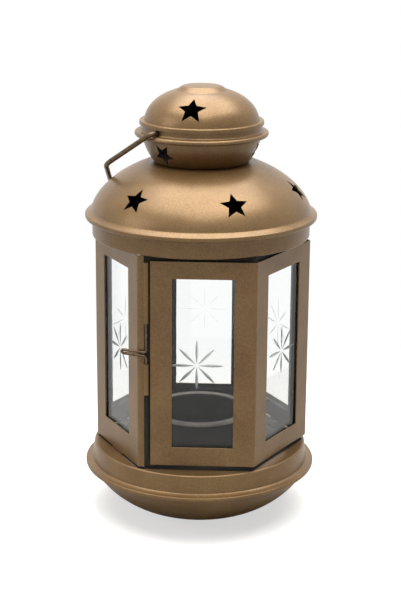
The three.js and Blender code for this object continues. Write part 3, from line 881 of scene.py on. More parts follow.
@dataclass
class Base(Part):
    """Stamped bowl and the floor plate whose band is folded round the bowl's rim."""

    plan: Hexagon
    bowl: float = 54.8
    foot: float = 22.0
    foot_round: float = 8.0
    flank: Flat = (44.0, 4.4)  # radius and height that the bowl bulges towards
    flange_round: float = 0.7
    edge_round: float = 1.0
    rim: FlaredRim = FlaredRim(bead=56.7, z=23.7, height=0.9, lip=55.1, belly=(0.3, 0.25))
    seam_half: float = 0.93
    seam_round: Flat = (0.5, 0.6)  # upper and lower corner of the bead
    draft: float = 0.9  # how far the band widens from the drum to its flare
    rivet_hole: float = 1.5

    def bowl_face(self) -> list[Flat]:
        """Outer face of the bowl, from its foot to its flange.

        Returns:
            Radius and height of each point.
        """
        s = self.stock
        flange = self.rim.z - s.sheet / 2
        curve = bow([(self.foot, 0.0), self.flank, (self.bowl, flange)], 36)
        line = [(0.0, 0.0), *curve, (self.rim.bead - s.sheet - s.fit, flange)]
        return rounded(line, {1: self.foot_round, -2: self.flange_round})

    def cover_face(self) -> list[Flat]:
        """Outer face of the floor plate, from its middle over its band and round the bead.

        Returns:
            Radius and height of each point.
        """
        s = self.stock
        line = [(self.rivet_hole, s.floor_top), (s.drum, s.floor_top),
                *self.rim.line(s.drum + self.draft, self.seam_half)]
        return rounded(line, {1: self.edge_round, -3: self.seam_round[0], -2: self.seam_round[1]})

    def build(self) -> None:
        """Makes the bowl and the floor plate."""
        self.stamp("base_bowl", self.bowl_face(), 1)
        self.stamp("base_cover", self.cover_face(), -1, mask=self.mask_inside)

    def mask_inside(self, mesh: bmesh.types.BMesh) -> None:
        """Leaves the plate in primer inside the body, which shields it from the spray gun.
        Where it shows in the gaps under the door and the sheets, this primer also stands in as painted shade.

        Args:
            mesh: Mesh of the floor plate.
        """
        sides = []
        for side in Side:
            start, end = self.plan.side(side)
            sides.append((start, Vector((end.y - start.y, start.x - end.x)).normalized()))

        def plate() -> list[bmesh.types.BMFace]:
            """Faces of the plate's flat upper face."""
            top = self.stock.floor_top - 0.01
            return [f for f in mesh.faces if f.normal.z > 0.99 and f.calc_center_median().z > top]

        for corner, out in sides:
            faces = plate()
            parts = {part for face in faces for part in (*face.verts, *face.edges)}
            bmesh.ops.bisect_plane(mesh, geom=[*faces, *parts], dist=1e-4, plane_co=(*corner, 0.0),
                                   plane_no=(*out, 0.0))
        for face in plate():
            middle = face.calc_center_median().xy
            # inside the hexagon: the primer's own colour, and painted shade in the gaps under door and sheets
            face.material_index = int(all((middle - corner).dot(out) < 0 for corner, out in sides))


@dataclass
class CandleCup(Part):
    """Spun cup for one tealight, whose rolled-out lip takes a paler finish as a painted highlight."""

    radius: float = 20.6
    deep: float = 14.4
    lip: float = 2.9
    lip_rise: Flat = (0.35, 0.75)  # at the wall and at the lip's edge
    lip_drop: float = 0.3
    corner: float = 1.4
    lip_round: Flat = (0.9, 0.75)
    rivet_hole: float = 1.5
    sides: int = 128

    def build(self) -> None:
        """Makes the cup."""
        s = self.stock
        low = s.floor_top + s.fit
        wall, lip_z = self.radius + s.sheet, low + self.deep
        line = [(self.rivet_hole, low), (wall, low), (wall, lip_z + self.lip_rise[0]),
                (wall + self.lip, lip_z + self.lip_rise[1]), (wall + self.lip, lip_z - self.lip_drop)]
        radii = {1: self.corner, 2: self.lip_round[0], 3: self.lip_round[1]}
        mesh = stamped(rounded(line, radii), s.sheet, self.sides)
        for face in mesh.faces:
            # faces out on the rolled lip take the paler finish, a painted highlight
            face.material_index = int(face.calc_center_median().xy.length > wall)
        make_object("candle_cup_spinning", mesh, [self.finishes.primer_and_shade, self.finishes.lip], ["candle_cup"])


@dataclass(frozen=True)
class Window:
    """Opening in the middle of one side of a folded sheet."""

    low: float
    high: float
    width: float


@dataclass
class FoldedSheet(Part):
    """Upright sheet folded along a path, with windows in some sides and legs below those.

    Where the closed door and the roof hide the sheet, its outside takes the dark primer as painted shade.
    """

    path: Sequence[Vector]
    low: float
    high: float
    windows: Mapping[int, Window]
    leg: Flat = (0.0, 0.0)  # width of a leg, and the gap beside it under the sheet's edge
    # False gives the whole outside the dark primer as painted shade
    lit_outside: bool = True
    # length at the path's end whose outside takes the dark primer as painted shade
    painted_shade_end: float = 0.0
    fold: float = 1.5
    steps: int = 6

    def columns(self) -> tuple[list[Vector], list[tuple[int, float]]]:
        """Points of the outer face seen from above.

        Returns:
            The points, and for the span before each point but the first its side and its distance from
            the middle of that side.
        """
        line = rounded([p[:] for p in self.path], {i: self.fold for i in range(1, len(self.path) - 1)},
                       self.steps)
        points, spans = [Vector(line[0])], []
        place = 1
        for side, (start, end) in enumerate(zip(self.path, self.path[1:])):
            middle, way = (start + end) / 2, (end - start).normalized()
            last = side == len(self.path) - 2
            widths = [self.windows[side].width, self.leg[0]] if side in self.windows else []
            marks = sorted(share * width for width in widths if width for share in (-0.5, 0.5))
            if last and self.painted_shade_end:
                marks.append((end - start).length / 2 - self.painted_shade_end)
            count = 1 if last else self.steps + 1
            fresh = [middle + way * mark for mark in marks] + [Vector(p) for p in line[place:place + count]]
            place += count
            for point in fresh:
                spans.append((side, ((point + points[-1]) / 2 - middle).dot(way)))
                points.append(point)
        return points, spans

    def is_open(self, side: int, offset: float, z: float) -> bool:
        """Says whether the sheet is cut away at a place.

        Args:
            side: Number of the side.
            offset: Distance from the side's middle.
            z: Height.

        Returns:
            True in a window, and beside the legs below the sheet's edge.
        """
        window = self.windows.get(side)
        if window and abs(offset) < window.width / 2 and window.low <= z < window.high:
            return True
        beside_leg = not window or abs(offset) > self.leg[0] / 2
        return z < self.low + self.leg[1] and beside_leg

    def build(self, name: str, nodes: Sequence[str] = (), body: str = "lantern",
              cuts: Sequence[Tool] = ()) -> None:
        """Makes the sheet, with its thickness inwards and its edges deburred.

        Args:
            name: Name of the piece.
            nodes: CAD nodes that it stands for.
            body: Body that it moves with.
            cuts: Tools that cut it.
        """
        points, spans = self.columns()
        edges = {z for window in self.windows.values() for z in (window.low, window.high)}
        levels = sorted({self.low, self.high, self.low + self.leg[1]} | edges)
        mesh = bmesh.new()
        grid = [[mesh.verts.new((p.x, p.y, z)) for z in levels] for p in points]
        for i, (side, offset) in enumerate(spans):
            # faces in painted shade take the dark primer on their outside too
            in_painted_shade = not self.lit_outside or bool(self.painted_shade_end) and i == len(spans) - 1
            for k, z in enumerate(levels[:-1]):
                if not self.is_open(side, offset, z):
                    face = mesh.faces.new((grid[i][k], grid[i + 1][k], grid[i + 1][k + 1], grid[i][k + 1]))
                    face.material_index = int(in_painted_shade)
        bmesh.ops.delete(mesh, geom=[v for v in mesh.verts if not v.link_faces], context="VERTS")
        thick: Tool = ("SOLIDIFY", {"thickness": self.stock.sheet * MM, "offset": -1.0,
                                    "use_even_offset": True, "material_offset": 1, "material_offset_rim": 0})
        make_object(name, mesh, self.finishes.sheet, nodes, body, tools=[thick, *cuts, BURR])


def rolled(axis: Vector, outer: float, inner: float, mouth: float, gap: float = 24.0) -> list[Flat]:
    """Outline of a rolled knuckle seen from above, open by a narrow slit.

    Args:
        axis: Middle of the knuckle.
        outer: Outer radius.
        inner: Bore radius.
        mouth: Direction of the slit, in degrees.
        gap: Width of the slit, in degrees.

    Returns:
        Closed outline.
    """
    count = 28
    turns = [math.radians(mouth + gap / 2 + (360 - gap) * k / count) for k in range(count + 1)]
    return [(axis.x + radius * math.cos(t), axis.y + radius * math.sin(t))
            for radius, way in ((outer, turns), (inner, turns[::-1])) for t in way]


@dataclass
class Hinge:
    """Sizes of the two rolled edges: the door's hinge and the latch's bearings."""

    stock: Stock
    plan: Hexagon
    inset: float = 3.9
    proud: float = 1.0
    knuckles: int = 5
    gap: float = 0.4
    latch_gap: float = 0.65
    low: float = 36.8
    high: float = 136.3

    def axis(self, side: Side) -> Vector:
        """Middle of the wire that turns near the start of a side."""
        return self.plan.along(side, self.inset, self.proud)

    def knuckle(self, side: Side, mouth: float) -> list[Flat]:
        """Outline of a knuckle on a side, with its slit in a direction given in degrees."""
        return rolled(self.axis(side), self.stock.ring, self.stock.bore, mouth)

    def add_knuckles(self, mesh: bmesh.types.BMesh, first: int, mouth: float,
                     strip: tuple[float, float, float, float]) -> None:
        """Adds every second knuckle of the door's hinge, with the strip that joins each to its sheet.

        Args:
            mesh: Mesh that takes them.
            first: Number of the first one, from the lowest.
            mouth: Direction of the slit, in degrees.
            strip: Near and far end, back and front of the strip, as a leaf takes them.
        """
        step = (self.high - self.low + self.gap) / self.knuckles
        for i in range(first, self.knuckles, 2):
            for outline in (self.knuckle(Side.BACK_RIGHT, mouth), self.plan.leaf(Side.BACK_RIGHT, *strip)):
                prism(mesh, outline, self.low + i * step, self.low + (i + 1) * step - self.gap)


@dataclass
class Body(Part):
    """Bent sheet of the four fixed sides, with the strip that carries the latch."""

    hinge: Hinge
    gap_low: float = 1.1
    stile: float = 10.98
    rail_low: float = 12.3
    rail_high: float = 8.6
    header: float = 5.0
    notch: float = 1.9
    notch_deep: float = 10.0
    door_lap: float = 2.2
    upper: Flat = (106.5, 135.6)  # ends of the latch's upper knuckle
    lower: Flat = (71.6, 86.8)
    hem: Flat = (40.1, 70.5)
    hem_width: float = 1.9
    latch_mouth: float = 200.0
    hinge_mouth: float = 250.0
    tab: Flat = (12.0, 7.0)  # width and depth
    rolled_over: Flat = (0.6, 0.9)  # from the pin's axis to a leaf, and from the sheet's edge into it

    def build(self) -> None:
        """Makes the sheet, its knuckles and its turned-in tabs."""
        s, hinge, plan = self.stock, self.hinge, self.hinge.plan
        a, b, c, d, e, f = plan.corners()
        low, high = s.floor_top + s.fit, s.ceiling_low - s.fit
        start = plan.along(Side.BACK_RIGHT, hinge.inset + s.ring + s.fit)
        end = plan.along(Side.FRONT, hinge.inset + s.ring + hinge.latch_gap + self.door_lap)
        strip = hinge.inset - s.bore - s.fit
        edge = s.floor_top + self.gap_low
        window = Window(edge + self.rail_low, high - self.rail_high, (b - a).length - 2 * self.stile)
        # the sheet's end behind the door's free edge takes the dark primer as painted shade
        sheet = FoldedSheet(s, self.finishes, [start, e, f, a, b, end], low, high,
                            dict.fromkeys(range(4), window), (self.tab[0], edge - low),
                            painted_shade_end=(end - b).length - strip)
        sheet.build("body_sheet", ["body_frame"])
        pin = hinge.axis(Side.BACK_RIGHT)
        above = Matrix.Translation((*pin, hinge.high + self.notch_deep / 2))
        notch = drill(self.notch, self.notch_deep, above, 32)
        # the header's outside takes the dark primer as painted shade, for the deep shade under the roof's
        # skirt above the door
        header = FoldedSheet(s, self.finishes, [end, c, d, start], high - self.header, high, {},
                             lit_outside=False)
        header.build("body_header", cuts=[notch])
        self.build_knuckles(strip)
        self.build_tabs(low, high)

    def build_knuckles(self, strip: float) -> None:
        """Makes the rolled edges of the strip and of the hinge side, and the strip's folded hem.

        Args:
            strip: Distance from the front's left corner to the strip's free edge.
        """
        s, hinge = self.stock, self.hinge
        mesh = bmesh.new()
        for low, high in (self.upper, self.lower):
            prism(mesh, hinge.knuckle(Side.FRONT, self.latch_mouth), low, high)
        # the folded hem takes the dark primer as painted shade, beside the door's free edge
        edge = hinge.plan.leaf(Side.FRONT, strip, strip + self.hem_width, -s.sheet / 2, s.sheet)
        prism(mesh, edge, *self.hem, finish=1)
        near, far = self.rolled_over
        hinge.add_knuckles(mesh, 0, self.hinge_mouth,
                           (hinge.inset + near, hinge.inset + s.ring + s.fit + far, -s.sheet, 0.0))
        make_object("body_knuckles", mesh, self.finishes.sheet, tools=[BURR])

    def build_tabs(self, low: float, high: float) -> None:
        """Makes the tabs that are riveted to floor and ceiling.

        Args:
            low: Lower edge of the body.
            high: Upper edge of the body.
        """
        s = self.stock
        mesh = bmesh.new()
        for side in (Side.BACK_RIGHT, Side.BACK, Side.BACK_LEFT, Side.LEFT):
            start, end = self.hinge.plan.side(side)
            middle, half = (end - start).length / 2, self.tab[0] / 2
            outline = self.hinge.plan.leaf(side, middle - half, middle + half, -self.tab[1], -s.sheet / 2)
            for z in (low, high - s.sheet):
                prism(mesh, outline, z, z + s.sheet)
        make_object("body_tabs", mesh, [self.finishes.primer_and_shade], tools=[BURR])


@dataclass
class Door(Part):
    """Two-leaf door folded from one sheet, with knuckles on its return."""

    hinge: Hinge
    proud: float = 1.37
    rail_low: float = 9.0
    rail_high: float = 8.3
    stiles: Flat = (10.1, 10.9)
    hinge_mouth: float = 70.0
    rolled_over: Flat = (0.7, 0.9)  # from the pin's axis to a leaf, and from the sheet's edge into it

    def corners(self) -> list[Vector]:
        """Path of the door's outer face, from its free edge to its return.

        Returns:
            Four points.
        """
        s, hinge, plan = self.stock, self.hinge, self.hinge.plan
        outer = beside([p[:] for p in plan.corners()[1:5]], -self.proud)
        free = plan.along(Side.FRONT, hinge.inset + s.ring + hinge.latch_gap, self.proud)
        back = plan.along(Side.BACK_RIGHT, hinge.inset - s.ring - s.fit, self.proud)
        return [free, Vector(outer[1]), Vector(outer[2]), back]

    def build(self) -> None:
        """Makes the door's sheet and its knuckles."""
        s, hinge, path = self.stock, self.hinge, self.corners()
        low, high = hinge.low + self.rail_low, hinge.high - self.rail_high
        windows = {i: Window(low, high, (path[i + 1] - path[i]).length - 2 * self.stiles[i]) for i in (0, 1)}
        FoldedSheet(s, self.finishes, path, hinge.low, hinge.high, windows).build(
            "door_sheet", ["door_frame"], "door")
        mesh = bmesh.new()
        near, far = self.rolled_over
        hinge.add_knuckles(mesh, 1, self.hinge_mouth,
                           (hinge.inset - s.ring - s.fit - far, hinge.inset - near,
                            self.proud - s.sheet, self.proud))
        make_object("door_knuckles", mesh, [self.finishes.lacquer], body="door", tools=[BURR])


@dataclass(frozen=True)
class CutStar:
    """Place of a wheel-cut star on its pane, and how deep it is, as a share of the deepest."""

    across: float
    z: float
    depth: float = 1.0


@dataclass
class CutPane(Part):
    """Pane with an eight-ray star cut by a wheel, set behind its window."""

    ray: float = 12.8
    half_width: float = 0.82
    groove: float = 0.55
    hub: float = 0.35
    lap: float = 2.5
    lift: float = 0.1
    skew: float = 1.15
    fullness: float = 0.9
    stations: int = 10
    lengths: Sequence[float] = (1.0, 0.95, 0.98, 0.93, 0.92, 0.97, 1.0, 0.94)

    def add_ray(self, mesh: bmesh.types.BMesh, place: Matrix, length: float, depth: float) -> None:
        """Adds one spindle-shaped groove to the cutting tool.

        Args:
            mesh: Mesh of the tool.
            place: Frame of the pane's outer face at the star's middle, with Y along the ray.
            length: Length of the ray.
            depth: Depth and width of the groove, as a share of the deepest.
        """
        rings, lift = [], self.lift
        for t in (i / self.stations for i in range(1, self.stations)):
            wide = depth * self.half_width * math.sin(math.pi * t ** self.skew) ** self.fullness
            y = self.hub + (length - self.hub) * t
            spots = [(-wide - lift, lift), (0.0, -self.groove * wide / self.half_width), (wide + lift, lift)]
            rings.append([mesh.verts.new(place @ Vector((x, y, z))) for x, z in spots])
        near, far = (mesh.verts.new(place @ Vector((0.0, y, lift / 2))) for y in (self.hub, length))
        faces = [face for here, ahead in zip(rings, rings[1:]) for face in join_rings(mesh, here, ahead)]
        for k, n in ((0, 1), (1, 2), (2, 0)):
            faces.append(mesh.faces.new((near, rings[0][n], rings[0][k])))
            faces.append(mesh.faces.new((far, rings[-1][k], rings[-1][n])))
        for face in faces:
            face.material_index = 1

    def build(self, node: str, body: str, place: tuple[Vector, Vector], stile: float, star: CutStar) -> None:
        """Makes one pane.

        Args:
            node: CAD node that it stands for.
            body: Body that it moves with.
            place: Ends of the side that it is set behind.
            stile: Sheet left beside its window.
            star: Its star.
        """
        side = side_frame(*place)
        s = self.stock
        bottom, top = (corner[2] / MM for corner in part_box(node))
        half = (place[1] - place[0]).length / 2 - stile + self.lap
        face = -s.sheet - s.fit
        mesh = bmesh.new()
        size = Matrix.Diagonal((2 * half, top - bottom, s.pane, 1.0))
        middle = Matrix.Translation((0, (top + bottom) / 2, face - s.pane / 2))
        bmesh.ops.create_cube(mesh, size=1.0, matrix=side @ middle @ size)
        spot = side @ Matrix.Translation((star.across, star.z, face))
        wheel = bmesh.new()
        for i, share in enumerate(self.lengths):
            turn = Matrix.Rotation(2 * math.pi * i / len(self.lengths), 4, "Z")
            self.add_ray(wheel, spot @ turn, self.ray * share, star.depth)
        make_object(f"{node}_cut", mesh, [self.finishes.glass, self.finishes.cut], [node], body,
                    [cut_with(wheel)])


def side_frame(start: Vector, end: Vector) -> Matrix:
    """Frame of a side of the hexagon: X along it, Y up, Z outwards, at its middle on the floor.

    Args:
        start: Corner that the side starts at.
        end: Corner that it ends at.

    Returns:
        The frame.
    """
    way = (end - start).normalized()
    middle = (start + end) / 2
    x, y, z = Vector((way.x, way.y, 0)), Vector((0, 0, 1)), Vector((way.y, -way.x, 0))
    frame = Matrix((x, y, z)).transposed().to_4x4()
    frame.translation = (middle.x, middle.y, 0)
    return frame


@dataclass
class Glazing(Part):
    """The six panes and the channels that hold them."""

    body: Body
    door: Door

    def build(self) -> None:
        """Makes every pane and dresses the channels."""
        pane = CutPane(self.stock, self.finishes)
        # the far panes' stars are barely traces in the photograph, so they are cut shallower
        fixed = {Side.BACK_RIGHT: CutStar(0.3, 88.0, 0.55), Side.BACK: CutStar(-0.3, 88.4, 0.12),
                 Side.BACK_LEFT: CutStar(0.3, 88.8, 0.55), Side.LEFT: CutStar(2.7, 88.0)}
        for side, star in fixed.items():
            pane.build(f"glass_{side.name.lower()}", "lantern", self.body.hinge.plan.side(side),
                       self.body.stile, star)
        path = self.door.corners()
        leaves = {Side.FRONT: CutStar(-2.9, 86.3), Side.RIGHT: CutStar(0.4, 87.2)}
        for i, (side, star) in enumerate(leaves.items()):
            pane.build(f"door_glass_{side.name.lower()}", "door", (path[i], path[i + 1]),
                       self.door.stiles[i], star)
        for name, node in frame["nodes"].items():
            if "channel" in name:
                for place in node.material_slots:
                    place.material = self.finishes.primer_and_shade
                log.info("%s: dressed in %s", name, self.finishes.primer_and_shade.name)


@dataclass
class Wires(Part):
    """Hinge pin, latch and bail, bent from round wire."""

    hinge: Hinge
    pin_head: float = 0.8
    head_flat: float = 0.8
    head_round: float = 0.2
    latch_z: float = 91.9
    latch_ends: Flat = (72.1, 135.1)
    loop_reach: float = 11.3
    loop_gap: float = 0.4
    loop_rise: float = 1.5
    loop_sag: float = 0.5
    latch_bends: Sequence[float] = (1.6, 1.2, 1.2, 1.6)
    bail_wire: float = 1.2
    bail_turn: float = -43.0
    bail_z: float = 190.755
    bail_drop: float = 32.87
    pivot_half: float = 33.45
    corner_out: float = 3.9
    bail_leg: float = 31.5
    bail_reach: float = 69.5
    grip_half: float = 5.3
    bail_bends: Sequence[float] = (2.4, 4.0, 4.0, 4.0, 4.0, 2.4)
    head_at: float = 27.3
    head_half: float = 0.45
    head_radius: float = 1.9

    def build(self) -> None:
        """Makes the three wires."""
        self.build_pin()
        self.build_latch()
        self.build_bail()

    def build_pin(self) -> None:
        """Makes the hinge pin, headed at both ends."""
        s, tall = self.stock, self.pin_head
        low, high = self.hinge.low - s.fit - tall, self.hinge.high + s.fit + tall
        head = s.ring - s.run
        flat, soft = head * self.head_flat, self.head_round
        outline = [(0, low), (flat, low), (head, low + soft), (head, low + tall), (s.pin, low + tall),
                   (s.pin, high - tall), (head, high - tall), (head, high - soft), (flat, high), (0, high)]
        mesh = spin(outline, len(outline), 24, self.hinge.axis(Side.BACK_RIGHT)[:])
        make_object("hinge_pin_wire", mesh, [self.finishes.wire], ["hinge_pin"])

    def build_latch(self) -> None:
        """Makes the latch: two upright legs and the flattened loop between them."""
        axis = self.hinge.axis(Side.FRONT)
        leg = self.loop_gap / 2 + self.stock.pin
        z, up = self.latch_z - self.loop_sag, self.loop_rise
        places = [(0, self.latch_ends[0]), (0, z - leg), (self.loop_reach, z - leg + up),
                  (self.loop_reach, z + leg + up), (0, z + leg), (0, self.latch_ends[1])]
        line = wire_line([Vector((axis.x - r, axis.y, h)) for r, h in places], self.latch_bends)
        mesh = bmesh.new()
        sweep(mesh, line, self.stock.pin)
        make_object("latch_loop", mesh, [self.finishes.wire], ["latch_wire"], "latch")

    def build_bail(self) -> None:
        """Makes the bail, lying on the roof, with its headed ends inside the top chamber."""
        turn, drop = math.radians(self.bail_turn), math.radians(self.bail_drop)
        across = Vector((math.sin(turn), -math.cos(turn), 0))
        down = Vector((across.y, -across.x, 0)) * math.cos(drop) - Vector((0, 0, math.sin(drop)))
        centre = Vector((0, 0, self.bail_z))
        half = [(self.head_at, 0.0), (self.pivot_half, 0.0),
                (self.pivot_half + self.corner_out, self.bail_leg), (self.grip_half, self.bail_reach)]
        points = [centre + across * out + down * reach for out, reach in half]
        points += [centre - across * out + down * reach for out, reach in reversed(half)]
        mesh = bmesh.new()
        sweep(mesh, wire_line(points, self.bail_bends, 12), self.bail_wire, 24)
        for side in (-1, 1):
            ends = [centre + across * (side * (self.head_at + t)) for t in (-self.head_half, self.head_half)]
            sweep(mesh, ends, self.head_radius, 24)
        make_object("bail_bow", mesh, [self.finishes.wire], ["handle_bail"], "handle")


@dataclass
class Roof(Part):
    """Pierced dome, whose flared edge is folded round the flange of the ceiling ring."""

    radius: float = 53.45
    rise: float = 31.5
    power: float = 1.89
    middle: float = 147.4
    rim: FlaredRim = FlaredRim(bead=55.7, z=148.7, height=1.6, lip=52.6)
    seam_round: Flat = (0.8, 0.9)  # upper and lower corner of the bead
    crown: float = 26.5
    crown_hole: float = 16.5
    crown_round: float = 2.5
    ceiling_hole: float = 34.0
    edge_round: float = 0.7
    flange_round: float = 0.3
    stars: PiercedStars = PiercedStars(7.0, 6, -38.4)
    star_z: float = 162.2
    sides: int = 192

    def radius_at(self, z: float) -> float:
        """Radius of the dome at a height."""
        return self.radius * dome_share((z - self.middle) / self.rise, self.power)

    def dome_face(self) -> list[Flat]:
        """Outer face of the dome, from its hole down and round the bead.

        Returns:
            Radius and height of each point.
        """
        s = self.stock
        top = dome_share(self.crown / self.radius, self.power)
        foot = self.rim.z + s.seam_half + self.rim.height
        shares = (top, (foot - self.middle) / self.rise)
        curve = dome(self.radius, self.middle, self.rise, self.power, shares, 48)
        line = [(self.crown_hole, self.middle + self.rise * top), *curve[:-1],
                *self.rim.line(curve[-1][0], s.seam_half)]
        return rounded(line, {1: self.crown_round, -3: self.seam_round[0], -2: self.seam_round[1]})

    def ring_face(self) -> list[Flat]:
        """Outer face of the ceiling ring, from its hole over the skirt to its flange.

        Returns:
            Radius and height of each point.
        """
        s = self.stock
        flange = self.rim.z - s.sheet / 2
        line = [(self.ceiling_hole, s.ceiling_low), (s.drum, s.ceiling_low), (s.drum, flange),
                (self.rim.bead - s.sheet - s.fit, flange)]
        return rounded(line, {1: self.edge_round, 2: self.flange_round})

    def build(self) -> None:
        """Makes the dome and the ring."""
        punch = self.stars.punch(self.radius_at, self.star_z)
        self.stamp("roof_dome", self.dome_face(), -1, self.sides, [punch])
        self.stamp("roof_ring", self.ring_face(), 1)


@dataclass
class TopChamber(Part):
    """Small bowl, band and domed lid on the roof, with punched stars and the bail's two holes."""

    low: float = 174.455
    bead_z: float = 188.005
    bead_round: float = 1.15
    band_top: float = 193.405
    neck: float = 22.6
    hole: float = 14.5
    flank: float = 27.6
    radius: float = 28.4
    crimp: float = 3.45
    band_lip: float = 0.6
    band_round: float = 1.0
    foot_round: float = 1.4
    edge_round: float = 0.7
    bowl_stars: PiercedStars = PiercedStars(6.1, 3, -39.5)
    bowl_star_drop: float = 7.3
    lid_stars: PiercedStars = PiercedStars(7.1, 3, -9.0)
    lid_star_rise: float = 10.4
    dome_rise: float = 18.0
    dome_sink: float = 2.5
    dome_inset: float = 0.85
    dome_power: float = 2.18
    boss: Flat = (13.4, 2.65)  # radius and height
    skirt_drop: float = 1.9
    bail_z: float = 190.755
    bail_bore: float = 1.45
    bail_turn: float = -43.0
    sides: int = 144

    def build(self) -> None:
        """Makes the three stampings."""
        self.build_bowl()
        self.build_band()
        self.build_lid()

    def build_bowl(self) -> None:
        """Makes the bowl, with its stars pointing down."""
        s = self.stock
        top = self.bead_z - s.sheet / 2
        curve = bow([(self.neck, self.low), (self.flank, (self.low + top) / 2), (self.radius, top)], 24)
        line = [(self.hole, self.low), *curve, (self.radius + self.crimp - s.sheet - s.fit, top)]

        def radius_at(z: float) -> float:
            """Radius of the flank at a height."""
            place = (z - self.low) / (top - self.low) * (len(curve) - 1)
            near = min(int(place), len(curve) - 2)
            return curve[near][0] + (curve[near + 1][0] - curve[near][0]) * (place - near)

        punch = self.bowl_stars.punch(radius_at, top - self.bowl_star_drop, upwards=False)
        face = rounded(line, {1: self.foot_round, -2: self.edge_round})
        self.stamp("cap_bowl", face, 1, self.sides, [punch])

    def build_band(self) -> None:
        """Makes the band, whose foot is folded round the bowl's rim."""
        s = self.stock
        inner, out = self.radius + s.fit, self.radius + self.crimp
        low, high = self.bead_z - s.seam_half, self.bead_z + s.seam_half
        line = [(inner, self.band_top), (inner, high), (out, high), (out, low),
                (inner + self.band_lip, low)]
        turn = Matrix.Rotation(math.radians(self.bail_turn), 4, "Z") @ Matrix.Rotation(math.pi / 2, 4, "X")
        through = 80.0
        bit = drill(self.bail_bore, through, Matrix.Translation((0, 0, self.bail_z)) @ turn, 28)
        face = rounded(line, {1: self.band_round, 2: self.bead_round, 3: self.bead_round})
        self.stamp("cap_band", face, -1, self.sides, [bit])

    def build_lid(self) -> None:
        """Makes the domed lid, with its raised boss and its stars."""
        s = self.stock
        skirt = self.radius + s.fit + s.fit + s.sheet
        flat = self.band_top + s.fit + s.sheet
        middle, wide = flat - self.dome_sink, self.radius - self.dome_inset
        share = dome_share(self.boss[0] / wide, self.dome_power)
        shares = (self.dome_sink / self.dome_rise, share)
        shell = dome(wide, middle, self.dome_rise, self.dome_power, shares, 32)
        boss_z = middle + self.dome_rise * share
        raised = [(self.boss[0] * out, boss_z + self.boss[1] * rise) for out, rise in self.boss_curve()]
        line = [*raised, *shell[::-1], (skirt, flat), (skirt, flat - self.skirt_drop)]

        def radius_at(z: float) -> float:
            """Radius of the lid at a height."""
            return wide * dome_share((z - middle) / self.dome_rise, self.dome_power)

        punch = self.lid_stars.punch(radius_at, middle + self.lid_star_rise)
        self.stamp("cap_dome", rounded(line, {-2: self.edge_round}), -1, self.sides, [punch])

    @staticmethod
    def boss_curve() -> list[Flat]:
        """Shares of the boss's radius and height, from its middle to its foot.

        Returns:
            Points of a soft shoulder.
        """
        flat, sag = 0.62, 0.12
        top = [(flat * i / 6, 1 - sag * (i / 6) ** 2) for i in range(7)]
        return top + [(flat + (1 - flat) * t, (1 - sag) * (1 - t * t * (3 - 2 * t)))
                      for t in (k / 10 for k in range(1, 10))]


@dataclass
class Rivets(Part):
    """Rivets that hold body, cup and top chamber, headed from round wire."""

    shank: float = 1.2
    head: float = 2.2
    rise: float = 1.0
    foot: float = 0.7
    foot_round: float = 0.1

    def build(self) -> None:
        """Makes a smooth rivet in the place of each CAD rivet."""
        quarter = [math.pi / 2 * k / 6 for k in range(7)]
        for node in (name for name in frame["nodes"] if "rivet" in name):
            low, high = (Vector(v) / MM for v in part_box(node))
            seat, under = high.z - self.rise, low.z + self.foot
            top = [(self.head * math.sin(t), seat + self.rise * math.cos(t)) for t in quarter]
            outline = [*top, (self.shank, seat), (self.shank, under), (self.head, under),
                       (self.head, low.z + self.foot_round), (self.head - self.foot_round, low.z),
                       (0.0, low.z)]
            mesh = spin(outline, len(outline), 28, ((low + high) / 2).xy[:])
            make_object(f"{node}_headed", mesh, [self.finishes.rivet], [node])


@dataclass(frozen=True)
class Softbox:
    """Square lamp that looks at the lantern; lengths in metres, power in watts."""

    name: str
    place: Solid
    size: float
    power: float


